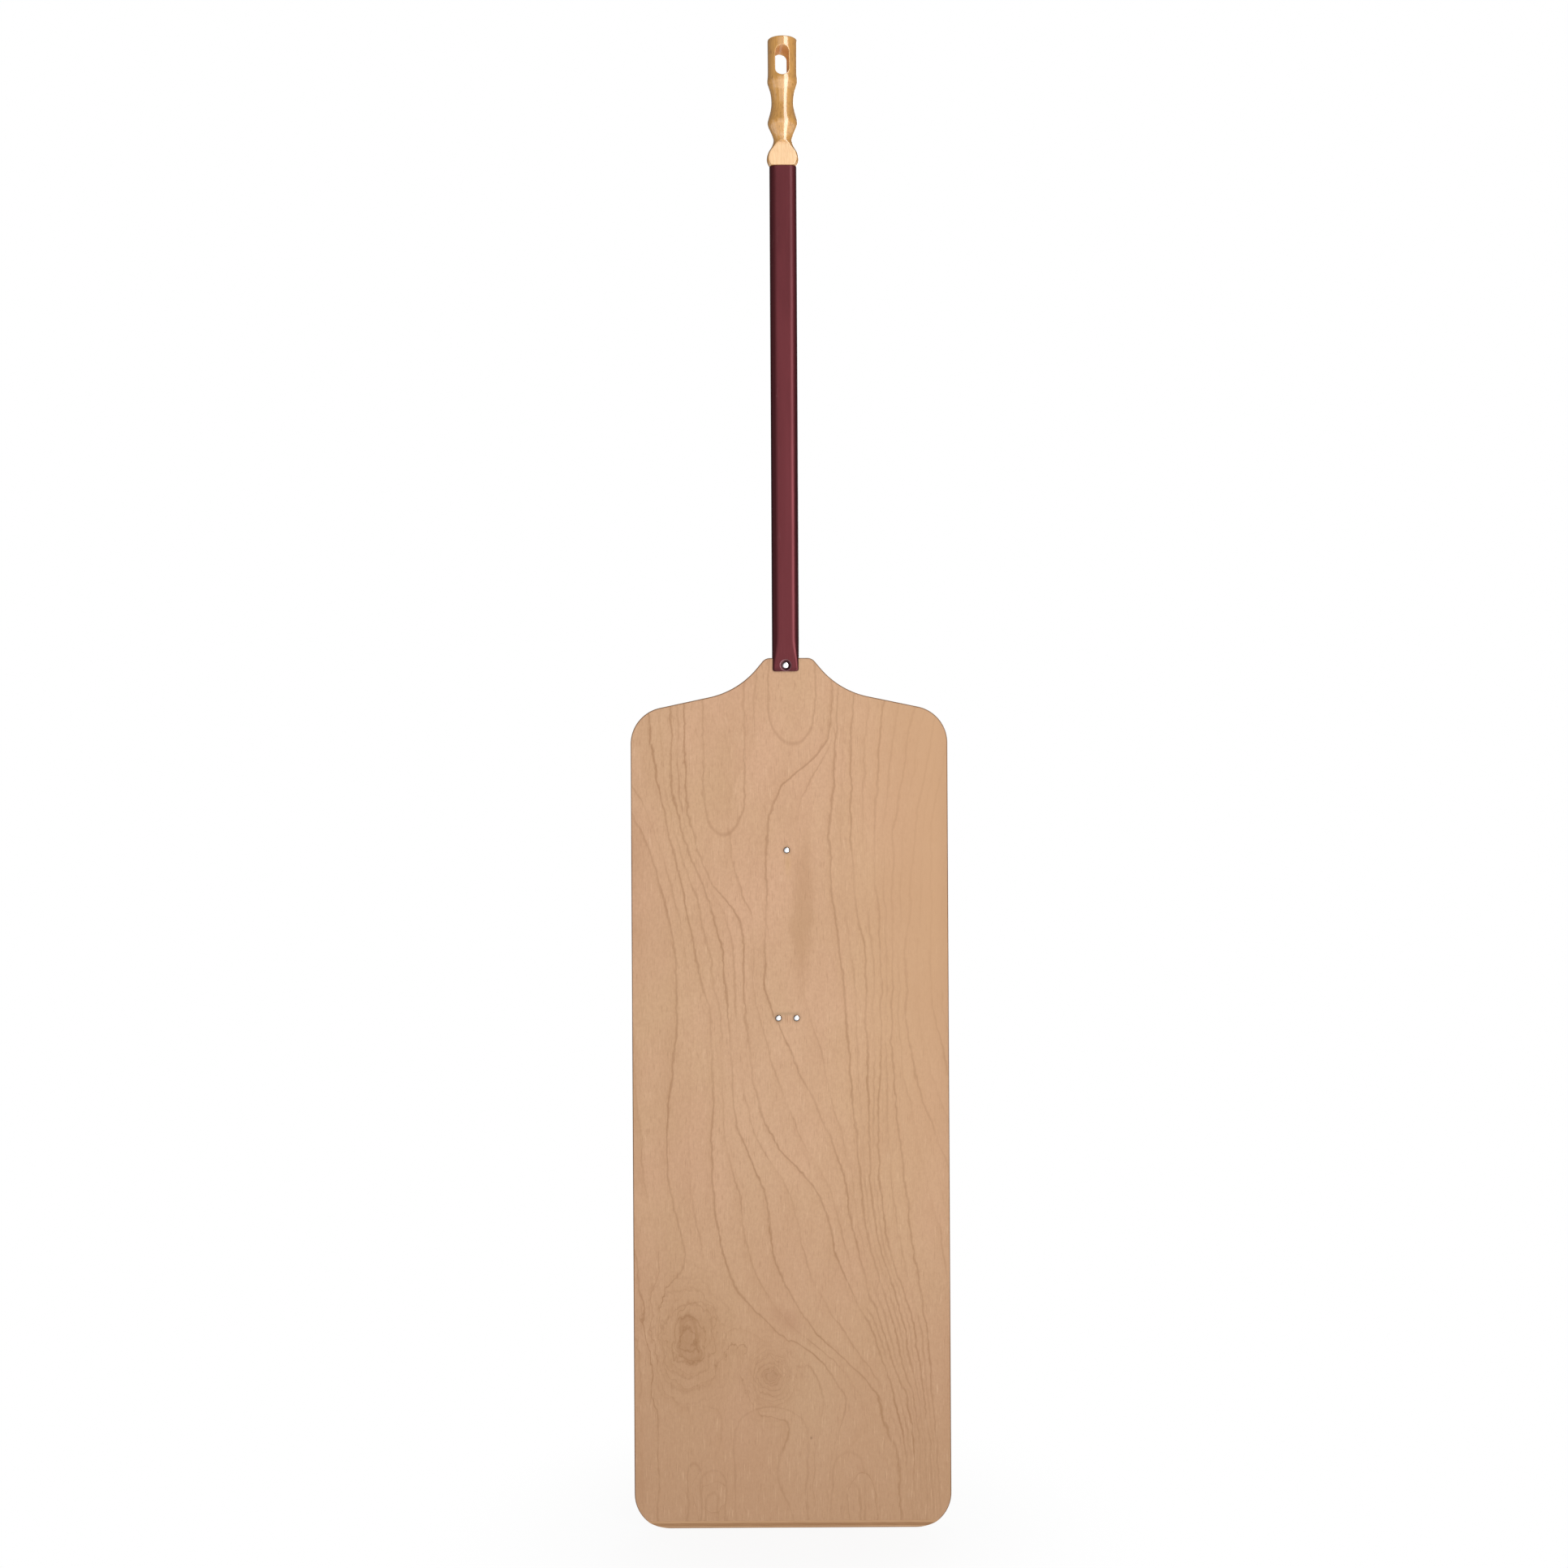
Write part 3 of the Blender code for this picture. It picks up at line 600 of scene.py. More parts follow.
def add_bruises_and_shade(g, colour):
    """Marks round the rivets' heads, where the tool slipped, and a painted shade in a dark ring round each
    head.
    """
    x, z = g.x, g.z
    between = knot(x + g.waver * 0.01, z, (0.0, TIP_RIVET_Z + 0.0042), 0.0105, 0.0017)
    colour = g.mix(between.fall() * 0.34, colour, srgb(128, 110, 78))
    scuffs = ((x * 420).fraction() - 0.5).size().step(0.20, 0.5)
    scuffed = knot(x, z, (0.0005, TIP_RIVET_Z - 0.001), 0.0048, 0.0042)
    colour = g.mix(scuffs * scuffed.fall() * 0.42, colour, srgb(160, 104, 70))
    below = knot(x, z, (0.0012, MIDDLE_RIVET_Z - 0.012), 0.0028, 0.0110)
    colour = g.mix(below.fall() * 0.22, colour, srgb(196, 158, 96))
    # painted shade: a dark ring round each head, where its recess lies in the wood
    for rivet in ((0.0, MIDDLE_RIVET_Z), (-TIP_RIVET_X, TIP_RIVET_Z), (TIP_RIVET_X, TIP_RIVET_Z)):
        recess_shade = knot(x, z, rivet, 0.0042, 0.0042)
        colour = g.mix((recess_shade * recess_shade).fall() * 0.40, colour, srgb(104, 84, 62))
    return colour


def add_plies(g, colour):
    """What the tip's bevel and the edges show: plies along and across, dark glue between, and handling."""
    down = g.y + BLADE_FACE + (g.waver + g.sway) * 0.00035
    cross_ply = (down / (2 * PLY)).fraction().step(0.49, 0.51)
    along_grain = g.grain(g.u * 60, g.y * 2600, g.w * 2400, detail=3.0)
    end_grain = g.mix(along_grain.step(0.3, 0.7), srgb(150, 110, 76), srgb(176, 136, 100))
    side_grain = g.mix(along_grain.step(0.3, 0.7), srgb(186, 146, 108), srgb(200, 160, 124))
    plies = g.mix(cross_ply, side_grain, end_grain)
    glue = ((down / PLY + 0.5).fraction() - 0.5).size().step(0.075, 0.03)
    plies = g.mix(glue * 0.55, plies, srgb(84, 56, 38))
    off_face = (BLADE_FACE - g.y.size()).step(0.00005, 0.00022)
    colour = g.mix(off_face, colour, plies)

    up = g.z - BLADE_LOW.z
    on_bevel = (up - TIP_BEVEL_LENGTH).step(0.0003, -0.0003) * (g.y - 0.0008).step(0.0004, -0.0002)
    handled = off_face * (1 - on_bevel) * g.cloud.step(0.0, 1.0, 0.62, 0.85)
    colour = g.mix(handled, colour, srgb(112, 76, 52))
    colour = g.mix(on_bevel * 0.20, colour, srgb(150, 110, 72))
    return g.mix(up.step(0.0014, 0.0004) * (0.40 + g.cloud * 0.2), colour, srgb(104, 68, 48))


def veneer():
    """Plywood with rotary-cut face veneers, sanded and bare."""
    g = Sheet("plywood")
    colour = figure(g)
    flecks = g.grain(g.u * 1150, g.y * 300, g.w * 95, detail=1.0)
    colour = g.mix(flecks.step(0.56, 0.78) * 0.32, colour, srgb(160, 118, 86))
    pale = g.grain(g.u * 820 + 7, g.y * 300, g.w * 60 + 4, detail=1.0)
    colour = g.mix(pale.step(0.58, 0.80) * 0.28, colour, srgb(226, 190, 158))
    speckle = g.grain(g.u * 620, g.y * 620, g.w * 420, detail=2.0)
    colour = g.mix(speckle.step(0.35, 0.65) * 0.16, colour, srgb(168, 128, 96))
    for add in (add_knots, add_stains_and_shade, add_bruises_and_shade, add_plies):
        colour = add(g, colour)
    height = flecks * 0.30 + pale * 0.25 + speckle * 0.20
    return g.finish(
        Base_Color=colour,
        Roughness=0.50 + g.cloud * 0.08 + flecks.step(0.5, 0.8) * 0.08,
        Specular_IOR_Level=0.10,
        Normal=g.bump(height, 0.00012, 0.55),
    )


PITH = (-0.031, 0.012)  # the middle of the tree's rings, off the grip's axis
RING_SPACING = 0.0030


def varnished_beech():
    """Turned beech under a thick clear varnish, which is gone from the two flats at the base."""
    g = Graph("varnished_wood")
    x, y, z = g.x, g.y, g.z
    wander = g.grain(x * 18, y * 18, z * 7, detail=2.0) - 0.5
    from_pith = ((x - PITH[0] + wander * 0.010).power(2) + (y - PITH[1] + wander * 0.006).power(2)).root()
    late = (from_pith / RING_SPACING + wander * 0.8).fraction().power(3.5)
    colour = g.mix(late * 0.42, srgb(214, 160, 88), srgb(168, 112, 50))
    tone = g.grain(x * 45, y * 45, z * 12 + 1.7, detail=3.0).step(0.30, 0.70)
    colour = g.mix(tone * 0.38, colour, srgb(190, 134, 68))
    fibre = g.grain(x * 2300, y * 2300, z * 120, detail=2.0)
    colour = g.mix(fibre.step(0.42, 0.70) * 0.30, colour, srgb(150, 98, 44))
    rays = g.grain(x * 900, y * 900, z * 210 + 3.0, detail=0.0)
    colour = g.mix(rays.step(0.66, 0.78) * 0.45, colour, srgb(134, 84, 38))

    off_flats = (y.size() - GRIP_FLATS / 2).size()
    flat = off_flats.step(0.00045, 0.00012) * (z - (GRIP_BASE + FLATS_LENGTH)).step(0.004, -0.001)
    flat = flat * (z - GRIP_BASE).step(-0.001, 0.0004)
    bare = g.mix(late * 0.34, srgb(244, 204, 156), srgb(220, 170, 112))
    bare = g.mix(fibre.step(0.42, 0.66) * 0.42, bare, srgb(204, 152, 98))
    colour = g.mix(flat * 0.92, colour, bare)

    sawn = (z - GRIP_TOP).step(-0.0006, -0.0001)
    colour = g.mix(sawn * 0.45, colour, srgb(150, 100, 50))
    from_axis = (x * x + y * y).root()
    slot_wall = from_axis.step(0.0136, 0.0124) * (z + SLOT_LENGTH + 0.001).step(-0.001, 0.0005)
    slot_wall = slot_wall * (z + 0.0005).step(0.002, 0.0)
    colour = g.mix(slot_wall * 0.65, colour, srgb(232, 182, 122))

    height = fibre * 0.5 + late * 0.3
    orange_peel = g.grain(x * 260, y * 260, z * 160, detail=2.0)
    return g.finish(
        Base_Color=colour,
        Roughness=0.26 + flat * 0.25 + slot_wall * 0.5 + tone * 0.05,
        Specular_IOR_Level=0.5 - slot_wall * 0.42,
        Normal=g.bump(height, 0.00006, 0.5),
        Coat_Weight=(1 - slot_wall) * (1 - flat * 0.75),
        Coat_Roughness=0.11,
        Coat_IOR=1.6,
        Coat_Normal=g.bump(orange_peel, 0.00010, 0.35),
    )


def anodised():
    """Dark red anodised aluminium, with faint lines along the extrusion, handling marks, painted shade in the
    hollow round the rivet on its front and towards the lap's end, a painted highlight on the hollow's rim,
    painted shade on the sides where they are seen edge on, and worn cut edges."""
    g = Graph("anodised_aluminium")
    x, y, z = g.x, g.y, g.z
    die_lines = g.grain(x * 2600, y * 2600, z * 4, detail=2.0)
    patches = g.grain(x * 60, y * 60, z * 9, detail=4.0, roughness=0.6)
    fine = g.grain(x * 900, y * 900, z * 500, detail=2.0)
    colour = g.mix(patches.step(0.3, 0.7), (0.090, 0.0175, 0.0215), (0.079, 0.0150, 0.0185))
    colour = g.mix(die_lines.step(0.45, 0.72) * 0.22, colour, (0.125, 0.030, 0.034))
    scratch_at = g.grain(x * 500 + z * 14, y * 500, z * 22 - x * 90, detail=1.0)
    scratches = (scratch_at - 0.5).size().step(0.010, 0.0) * patches.step(0.52, 0.66)
    colour = g.mix(scratches * 0.35, colour, (0.30, 0.16, 0.16))
    lap_edge = (z - LAP_END).step(0.0004, 0.0) * y.step(-0.004, -0.005)
    tongue_edge = (z - TONGUE_END).step(0.0005, 0.0001)
    cut_edge = (y.size() - SEAT).step(0.0003, 0.00005) * (z - NECK_TOP).step(0.0005, -0.0005)
    wear = (lap_edge * 0.35 + tongue_edge + cut_edge * 0.5).least(1.0) * patches.step(0.40, 0.62)
    colour = g.mix(wear * 0.5, colour, (0.42, 0.34, 0.34))
    # painted shade: dark in the dimple round the rivet, and towards the lap's end where it tilts away
    from_rivet = (x * x + (z - NECK_RIVET_Z).power(2)).root()
    on_lap = y.step(-0.003, -0.004)
    painted_lap_shade = (from_rivet - HOLLOW_RADIUS).size().step(0.0026, 0.0006)
    painted_lap_shade = painted_lap_shade.most((z - LAP_END).step(0.0050, 0.0) * 0.5) * on_lap
    colour = g.mix(painted_lap_shade * 0.75, colour, (0.012, 0.003, 0.004))
    # painted highlight: a pale ring on the dimple's rim
    rim = (from_rivet - DIMPLE_RADIUS).size().step(0.0007, 0.0001) * on_lap
    colour = g.mix(rim * (0.12 + fine * 0.30), colour, (0.34, 0.17, 0.19))
    # painted shade: the tube's sides darken where they are seen edge on
    colour = g.mix(g.edge_on().step(0.45, 0.95) * 0.72, colour, (0.016, 0.002, 0.004))
    height = die_lines * 0.6 + fine * 0.25 - scratches * 0.8
    return g.finish(
        Base_Color=colour,
        Metallic=1.0,
        Roughness=0.37 + z.step(-0.5, -0.1) * 0.23 + patches.step(0.3, 0.7) * 0.08 + die_lines * 0.05,
        Normal=g.bump(height, 0.00003, 0.35),
        Coat_Weight=0.18,
        Coat_Roughness=0.25,
    )


def bright_metal(name, colour, roughness):
    """A rivet's or a pin's formed metal: small dents, fine scratches, a little grime, and painted shade where
    it is seen edge on.
    """
    g = Graph(name)
    x, y, z = g.x, g.y, g.z
    dents = g.grain(x * 900, y * 900, z * 900, detail=3.0)
    scratches = g.grain(x * 5200, y * 700, z * 1400, detail=2.0)
    grime = g.grain(x * 420, y * 420, z * 420, detail=3.0).step(0.50, 0.75)
    tint = g.mix(grime * 0.35, colour, tuple(c * 0.55 for c in colour))
    tint = g.mix(scratches.step(0.55, 0.75) * 0.25, tint, tuple(c * 0.75 for c in colour))
    # painted shade: the head darkens where it is seen edge on, leaving a bright core
    tint = g.mix(g.edge_on().step(0.03, 0.22) * 0.8, tint, tuple(c * 0.16 for c in colour))
    return g.finish(
        Base_Color=tint,
        Metallic=1.0,
        Roughness=roughness + grime * 0.15 + scratches * 0.06,
        Normal=g.bump(dents + scratches * 0.3, 0.00006, 0.4),
    )


# ---------------------------------------------------------------- blade


def blade_outline():
    """(x, z) points from the blade's middle and the top of its neck."""
    half = BLADE_WIDTH / 2
    right = [
        (NECK_WIDTH / 2, 0, NECK_RADIUS), (THROAT_WIDTH / 2, -THROAT_DROP, THROAT_RADIUS),
        (half, -SHOULDER_DROP, SHOULDER_RADIUS), (half, -BLADE_LENGTH, TIP_RADIUS),
    ]
    left = [(-x, z, radius) for x, z, radius in reversed(right)]
    return rounded(right + left, OUTLINE_TURN)


def bevel_cutter():
    """Takes the tip's front edge off at a slant."""

    def fill(bm):
        low, high = -OVERCUT / TIP_BEVEL_LENGTH, (TIP_BEVEL_LENGTH + OVERCUT) / TIP_BEVEL_LENGTH
        side = [
            (-BLADE_FACE + TIP_BEVEL_DEPTH * (1 - t), BLADE_LOW.z + TIP_BEVEL_LENGTH * t) for t in (low, high)
        ]
        side += [(-BLADE_FACE - 2 * OVERCUT, z) for _, z in reversed(side)]
        loft(bm, [[(x, y, z) for y, z in side] for x in (-BLADE_WIDTH, BLADE_WIDTH)])

    return piece("bevel_cutter", fill)


def bore_cutter(node):
    """Makes room for a rivet's shank, and for its head except at the neck, where the lap holds that."""
    low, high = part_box(node)
    shank, far = SHANK_RADIUS + RECESS_CLEARANCE / 2, 2 * OVERCUT
    profile = [(0, -far), (shank, -far), (shank, far), (0, far)]
    if node != "neck_rivet":
        wide, seat = (high.x - low.x) / 2 + RECESS_CLEARANCE, -BLADE_FACE + RECESS_DEPTH
        profile[1:2] = [(wide, -far), (wide, seat), (shank, seat)]
    return piece("bore_cutter", lambda bm: turn_across(bm, profile, BORE_STEPS, middle(node)))


def make_blade(material):
    def fill(bm):
        points = blade_outline()
        start, end = math.pi, math.pi * 1.5
        front = arc(-BLADE_FACE + ARRIS_RADIUS, ARRIS_RADIUS, ARRIS_RADIUS, start, end, ARRIS_STEPS)
        levels = front + [(-y, drawn) for y, drawn in reversed(front)]
        loft(bm, [[(x + BLADE_X, y, z + NECK_TOP) for x, z in inset(points, drawn)] for y, drawn in levels])

    rivets = ("middle_rivet", "tip_rivet_left", "tip_rivet_right", "neck_rivet")
    cutters = [bevel_cutter()] + [bore_cutter(node) for node in rivets]
    blade = piece("veneered_blade", fill, [cut(c) for c in cutters])
    drop(*cutters)
    soften(blade, 22)
    return place(blade, "blade", material)


# ---------------------------------------------------------------- handle tube


def cornered(width, corner, from_end):
    """Half of a strip's width, this far from its end with rounded corners."""
    back = max(0.0, corner - from_end)
    return width / 2 - corner + math.sqrt(max(0.0, corner * corner - back * back))


def front_shape(z):
    """(half width, depth of the crown, corner radius) of the tube's front half at a height."""
    flat = smooth((NECK_TOP + LAP_FLATTENING - z) / (LAP_FLATTENING + LAP_LENGTH))
    width = blend(TUBE_WIDTH, LAP_WIDTH, flat)
    half = cornered(width, LAP_CORNER, max(0.0, z - LAP_END))
    corner = TUBE_FACE - TUBE_SIDE_FLAT / 2
    return half, blend(TUBE_FACE, PRESSED + LAP_RISE, flat), blend(corner, PRESSED_CORNER, flat)


def back_shape(z):
    """The same of its back half, which runs on as the tongue."""
    flat = smooth((TONGUE_END + PAD_LENGTH + PAD_FLATTENING - z) / PAD_FLATTENING)
    half = cornered(blend(TUBE_WIDTH, PAD_WIDTH, flat), PAD_CORNER, max(0.0, z - TONGUE_END))
    corner = TUBE_FACE - TUBE_SIDE_FLAT / 2
    return half, blend(TUBE_FACE, PRESSED, flat), blend(corner, PRESSED_CORNER, flat)


def half_section(z, shape, dimples, inner):
    """(x, depth) points of half the tube's section, outside or inside its wall, pressed in at each dimple."""
    wall = TUBE_WALL if inner else 0.0
    half, crown, corner = shape(z)
    half, crown = half - wall, crown - wall
    corner = max(corner - wall, PRESSED_CORNER / 4)
    floor = PRESSED - wall - GAP / 2 * inner
    flat = half - corner
    angles = [math.pi / 2 * i / CORNER_STEPS for i in range(CORNER_STEPS + 1)]
    side = [(flat + corner * math.cos(a), crown - corner + corner * math.sin(a)) for a in angles]
    top = [(flat * (1 - 2 * i / CROWN_STEPS), crown) for i in range(1, CROWN_STEPS)]
    points = side + top + [(-x, depth) for x, depth in reversed(side)]
    shaped = []
    for x, depth in points:
        for at in dimples:
            slope = (DIMPLE_RADIUS - math.hypot(x, z - at)) / (DIMPLE_RADIUS - DIMPLE_FLOOR_RADIUS)
            depth = blend(depth, min(depth, floor), smooth(slope))
        shaped.append((x, depth))
    return shaped


def make_tube(material):
    def ring(z, inner):
        front = half_section(z, front_shape, [NECK_RIVET_Z], inner)
        back = half_section(z, back_shape, [NECK_RIVET_Z, MIDDLE_RIVET_Z], inner)
        return [(x, -depth, z) for x, depth in front] + [(x, depth, z) for x, depth in reversed(back)]

    def fill(bm):
        pressed_top = NECK_TOP + LAP_FLATTENING
        heights = [blend(TUBE_TOP, pressed_top, t / TUBE_STEPS) for t in range(TUBE_STEPS)]
        spans = (  # (top, end, radius of the corners there)
            (pressed_top, LAP_END, LAP_CORNER),
            (MIDDLE_RIVET_Z + DIMPLE_RADIUS, MIDDLE_RIVET_Z - DIMPLE_RADIUS, 0),
            (TONGUE_END + PAD_LENGTH + PAD_FLATTENING, TONGUE_END, PAD_CORNER),
        )
        for high, low, corner in spans:
            steps = math.ceil((high - low - corner) / PRESSED_STEP)
            heights += [blend(high, low + corner, i / steps) for i in range(steps + 1)]
            if corner:
                angles = [math.pi / 2 * i / END_STEPS for i in range(1, END_STEPS + 1)]
                heights += [low + corner * (1 - math.sin(a)) for a in angles]
        loft(bm, [ring(z, False) for z in heights] + [ring(z, True) for z in reversed(heights)], True)

    def fill_slit(bm):
        low, front, top = TONGUE_END - OVERCUT, -2 * TUBE_FACE, NECK_TOP + GAP
        side = [(front, low), (SEAT, low), (SEAT, top), (-SEAT, top), (-SEAT, LAP_END), (front, LAP_END)]
        loft(bm, [[(x, y, z) for y, z in side] for x in (-5 * OVERCUT, 5 * OVERCUT)])

    slit = piece("slit_cutter", fill_slit)
    tube = piece("anodised_handle", fill, [cut(slit)])
    drop(slit)
    soften(tube, 40)
    return place(tube, "handle_tube", material)


# ---------------------------------------------------------------- grip


def grip_radius(down):
    """A smooth curve through the profile's points, level through the plain top."""
    points = GRIP_PROFILE
    i = max(k for k in range(len(points) - 1) if points[k][0] <= down)

    def slope(k):
        if k < 2:
            return 0.0
        (d0, r0), (d1, r1) = points[k - 1], points[min(k + 1, len(points) - 1)]
        return (r1 - r0) / (d1 - d0)

    (d0, r0), (d1, r1) = points[i], points[i + 1]
    run = d1 - d0
    t = (down - d0) / run
    rest = 1 - t
    return (
        (1 + 2 * t) * rest * rest * r0 + t * rest * rest * run * slope(i)
        + t * t * (3 - 2 * t) * r1 - t * t * rest * run * slope(i + 1)
    )


def make_grip(material):
    def fill(bm):
        ease = GRIP_END_ROUND
        rim = arc(GRIP_PROFILE[0][1] - ease, GRIP_TOP - ease, ease, 0, math.pi / 2, RIM_STEPS)[::-1]
        start = GRIP_PROFILE[1][0]
        steps = math.ceil((GRIP_LENGTH - start) / GRIP_STEP)
        downs = [blend(start, GRIP_LENGTH, i / steps) for i in range(steps + 1)]
        side = [(grip_radius(down), GRIP_TOP - down) for down in downs]
        turn(bm, [(0, GRIP_TOP), *rim, *side, (0, GRIP_BASE)], GRIP_STEPS, (0, 0, 1))

    def fill_flats(bm):
        near, high = GRIP_FLATS / 2, GRIP_BASE + FLATS_LENGTH
        run_out = arc(near + RUN_OUT_RADIUS, high, RUN_OUT_RADIUS, math.pi, math.pi / 2, RUN_OUT_STEPS)
        far, low = 2 * OVERCUT, GRIP_BASE - OVERCUT
        side = [(near, low), *run_out, (near + far, low)]
        for sign in (-1, 1):
            loft(bm, [[(x, sign * y, z) for y, z in side] for x in (-far, far)])

    def fill_slot(bm):
        x, low = SLOT_WIDTH / 2, -SLOT_LENGTH
        end = x * 0.999  # just short of a half circle, whose arcs would meet in a point
        corners = [(x, 0, end), (x, low, end), (-x, low, end), (-x, 0, end)]
        outline = rounded(corners, SLOT_TURN_STEP)
        loft(bm, [[(px, y, pz) for px, pz in outline] for y in (-3 * OVERCUT, 3 * OVERCUT)])
        bmesh.ops.rotate(bm, verts=bm.verts, cent=(0, 0, 0), matrix=Matrix.Rotation(SLOT_TURN, 3, "Z"))
        bmesh.ops.translate(bm, verts=bm.verts, vec=(SLOT_SHIFT, 0, 0))

    cutters = [piece("flats_cutter", fill_flats), piece("slot_cutter", fill_slot)]
    remesh = {"type": "REMESH", "mode": "VOXEL", "voxel_size": VOXEL, "adaptivity": 0.0}
    relax = {"type": "SMOOTH", "factor": 0.5, "iterations": SMOOTHINGS}
    grip = piece("turned_grip", fill, [cut(c) for c in cutters] + [remesh, relax])
    drop(*cutters)
    # the CAD's grip has facets, so a round one would stand slightly proud of its box
    reach = [max(abs(v.co[i]) for v in grip.data.vertices) for i in (0, 1)]
    held = [min(1.0, high / far) for high, far in zip(GRIP_HIGH, reach)]
    grip.data.transform(Matrix.Diagonal((*held, 1, 1)))
    grip.data.shade_smooth()
    return place(grip, "grip", material)


# ---------------------------------------------------------------- rivets and pin


def dome(radius, height, steps):
    """(radius, height) from the rim to the top of a head with a small upright rim."""
    return [
        (radius * math.cos(a), height * (0.22 + 0.78 * math.sin(a)))
        for a in (math.pi / 2 * i / steps for i in range(steps + 1))
    ]


def make_rivet(node, material):
    low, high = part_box(node)
    radius = (high.x - low.x) / 2
    front, back = low.y + HEAD_HEIGHT, PRESSED + GAP
    head = [(r, front - up) for r, up in reversed(dome(radius, HEAD_HEIGHT, HEAD_STEPS))]
    tail = [(r, back + up) for r, up in dome(TAIL_RADIUS, high.y - back, TAIL_STEPS)]
    profile = [
        *head, (radius * 0.985, front), (SHANK_RADIUS, front), (SHANK_RADIUS, back),
        (TAIL_RADIUS * 0.97, back), *tail,
    ]
    rivet = piece("domed_" + node, lambda bm: turn_across(bm, profile, RIVET_STEPS, middle(node)))
    soften(rivet, 40)
    return place(rivet, node, material)


def make_pin(material):
    low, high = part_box("grip_pin")
    radius, seat = (high.x - low.x) / 2, TUBE_FACE + GAP
    head = [(r, seat + up) for r, up in dome(radius, high.y - seat, TAIL_STEPS)]
    shank = [(0, low.y), (PIN_RADIUS, low.y + PIN_POINT), (PIN_RADIUS, seat)]
    profile = [*shank, (radius * 0.97, seat), *head]
    pin = piece("domed_grip_pin", lambda bm: turn_across(bm, profile, PIN_STEPS, middle("grip_pin")))
    soften(pin, 40)
    return place(pin, "grip_pin", material)


# ---------------------------------------------------------------- stage


CAMERA_DISTANCE = 1.85
CAMERA_TARGET = Vector((-0.0021, 0, -0.6966))
CAMERA_LENS, CAMERA_SENSOR = 44.77, 36  # in mm
CAMERA_ROLL = math.radians(0.315)
FLOOR_RADIUS, FLOOR_GAP = 9, 0.0006
WORLD_LIGHT = 0.14


def make_camera():
    """Square on to the peel's front, slightly rolled."""
    data = bpy.data.cameras.new("camera")
    data.lens, data.sensor_width = CAMERA_LENS, CAMERA_SENSOR
    data.clip_start, data.clip_end = 0.05, 50
    camera = bpy.data.objects.new("camera", data)
    bpy.context.scene.collection.objects.link(camera)
    turned = Matrix.Rotation(CAMERA_ROLL, 4, "Y") @ Matrix.Rotation(math.pi / 2, 4, "X")
    camera.matrix_world = Matrix.Translation(CAMERA_TARGET - Vector((0, CAMERA_DISTANCE, 0))) @ turned
    bpy.context.scene.camera = camera


def make_light(name, azimuth, height, distance, width, tall, radiance, lights=True, shines=True, pitch=90):
    """A soft box at an azimuth in degrees round the peel, 0 in front and positive to the right, as bright as
    radiance. One that only lights is left out of reflections, and one that only shines is seen just there.
    Its pitch is 90 if it looks level, or 0 if straight down."""
    data = bpy.data.lights.new(name, "AREA")
    data.shape, data.size, data.size_y = "RECTANGLE", width, tall
    data.energy = radiance * math.pi * width * tall
    light = bpy.data.objects.new(name, data)
    bpy.context.scene.collection.objects.link(light)
    angle = math.radians(azimuth)
    light.location = (distance * math.sin(angle), -distance * math.cos(angle), height)
    light.rotation_euler = (math.radians(pitch), 0, angle)
    light.visible_camera, light.visible_diffuse, light.visible_glossy = False, lights, shines


def make_lights():
    make_light("key", 29, height=0.15, distance=2.4, width=1.25, tall=2.3, radiance=3.9, shines=False)
    make_light("strip", 29, height=-0.10, distance=0.85, width=0.46, tall=2.5, radiance=6.0, lights=False)
    make_light("front", -12, height=0.1, distance=3.0, width=2.5, tall=2.6, radiance=0.88)
    make_light("left_card", -75, height=-0.3, distance=2.0, width=0.7, tall=1.8, radiance=0.6)
    make_light("back", 165, height=0.0, distance=3.0, width=1.8, tall=2.4, radiance=2.2)
    make_light(
        "overhead", 180, height=1.2, distance=0.5, width=1.0, tall=1.0, radiance=3.0, shines=False, pitch=0
    )


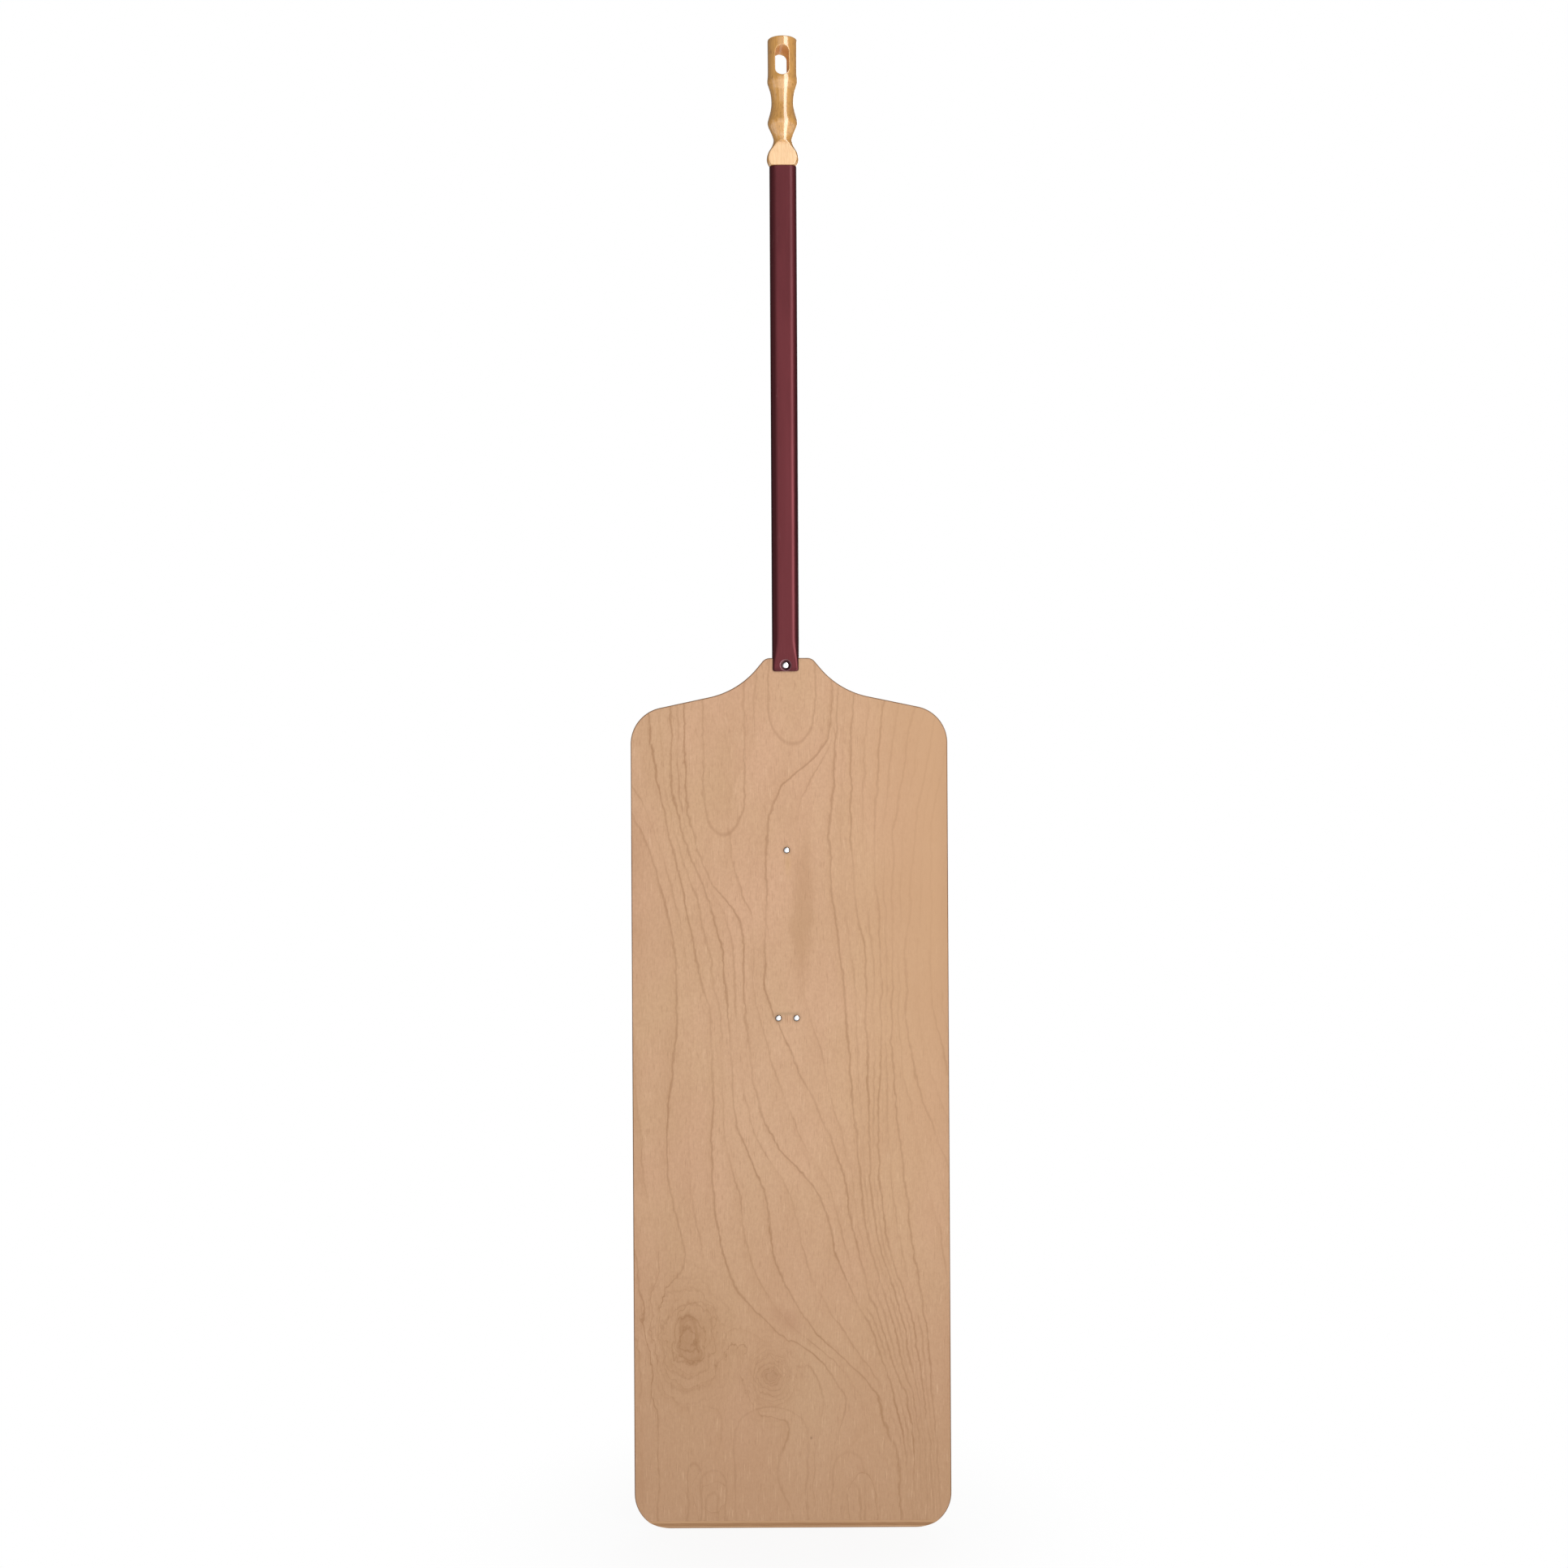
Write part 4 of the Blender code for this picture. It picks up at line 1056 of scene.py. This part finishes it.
def make_floor():
    """Pale and plain. Its far parts glow like the background, so that no horizon shows."""

    def fill(bm):
        bmesh.ops.create_circle(bm, cap_ends=True, segments=96, radius=FLOOR_RADIUS)

    floor = piece("floor", fill)
    floor.location.z = BLADE_LOW.z - FLOOR_GAP
    g = Graph("floor")
    away = (g.x * g.x + g.y * g.y).root()
    wear = g.noise(g.place, detail=4.0, scale=9.0)
    glow = g.node("ShaderNodeEmission")
    g.feed(glow.inputs["Color"], (1, 1, 1, 1))
    mixer = g.node("ShaderNodeMixShader")
    g.feed(mixer.inputs[0], away.step(0.04, 0.36, 0.91, 1.0))
    g.feed(g.shader.inputs["Base Color"], g.mix(wear, (0.90, 0.90, 0.90), (0.93, 0.93, 0.93)))
    g.shader.inputs["Roughness"].default_value = 0.7
    out = g.tree.nodes["Material Output"]
    g.feed(mixer.inputs[1], g.shader.outputs[0])
    g.feed(mixer.inputs[2], glow.outputs[0])
    g.feed(out.inputs["Surface"], mixer.outputs[0])
    floor.data.materials.append(g.material)


def make_world():
    """White to look at, dim as a source of light."""
    world = bpy.data.worlds.new("studio")
    bpy.context.scene.world = world
    world.use_nodes = True
    nodes, links = world.node_tree.nodes, world.node_tree.links
    nodes.clear()
    seen, lit = nodes.new("ShaderNodeBackground"), nodes.new("ShaderNodeBackground")
    for background, strength in ((seen, 1.0), (lit, WORLD_LIGHT)):
        background.inputs["Color"].default_value = (1, 1, 1, 1)
        background.inputs["Strength"].default_value = strength
    mixer, path = nodes.new("ShaderNodeMixShader"), nodes.new("ShaderNodeLightPath")
    out = nodes.new("ShaderNodeOutputWorld")
    links.new(path.outputs["Is Camera Ray"], mixer.inputs[0])
    links.new(lit.outputs[0], mixer.inputs[1])
    links.new(seen.outputs[0], mixer.inputs[2])
    links.new(mixer.outputs[0], out.inputs["Surface"])


def main():
    make_blade(veneer())
    make_tube(anodised())
    make_grip(varnished_beech())
    aluminium = bright_metal("bare_aluminium", (0.86, 0.86, 0.88), 0.24)
    for node in ("neck_rivet", "middle_rivet", "tip_rivet_left", "tip_rivet_right"):
        make_rivet(node, aluminium)
    make_pin(bright_metal("bright_steel", (0.62, 0.62, 0.64), 0.28))
    make_floor()
    make_world()
    make_lights()
    make_camera()
    settings = bpy.context.scene.view_settings
    settings.view_transform, settings.look = "Standard", "None"


main()
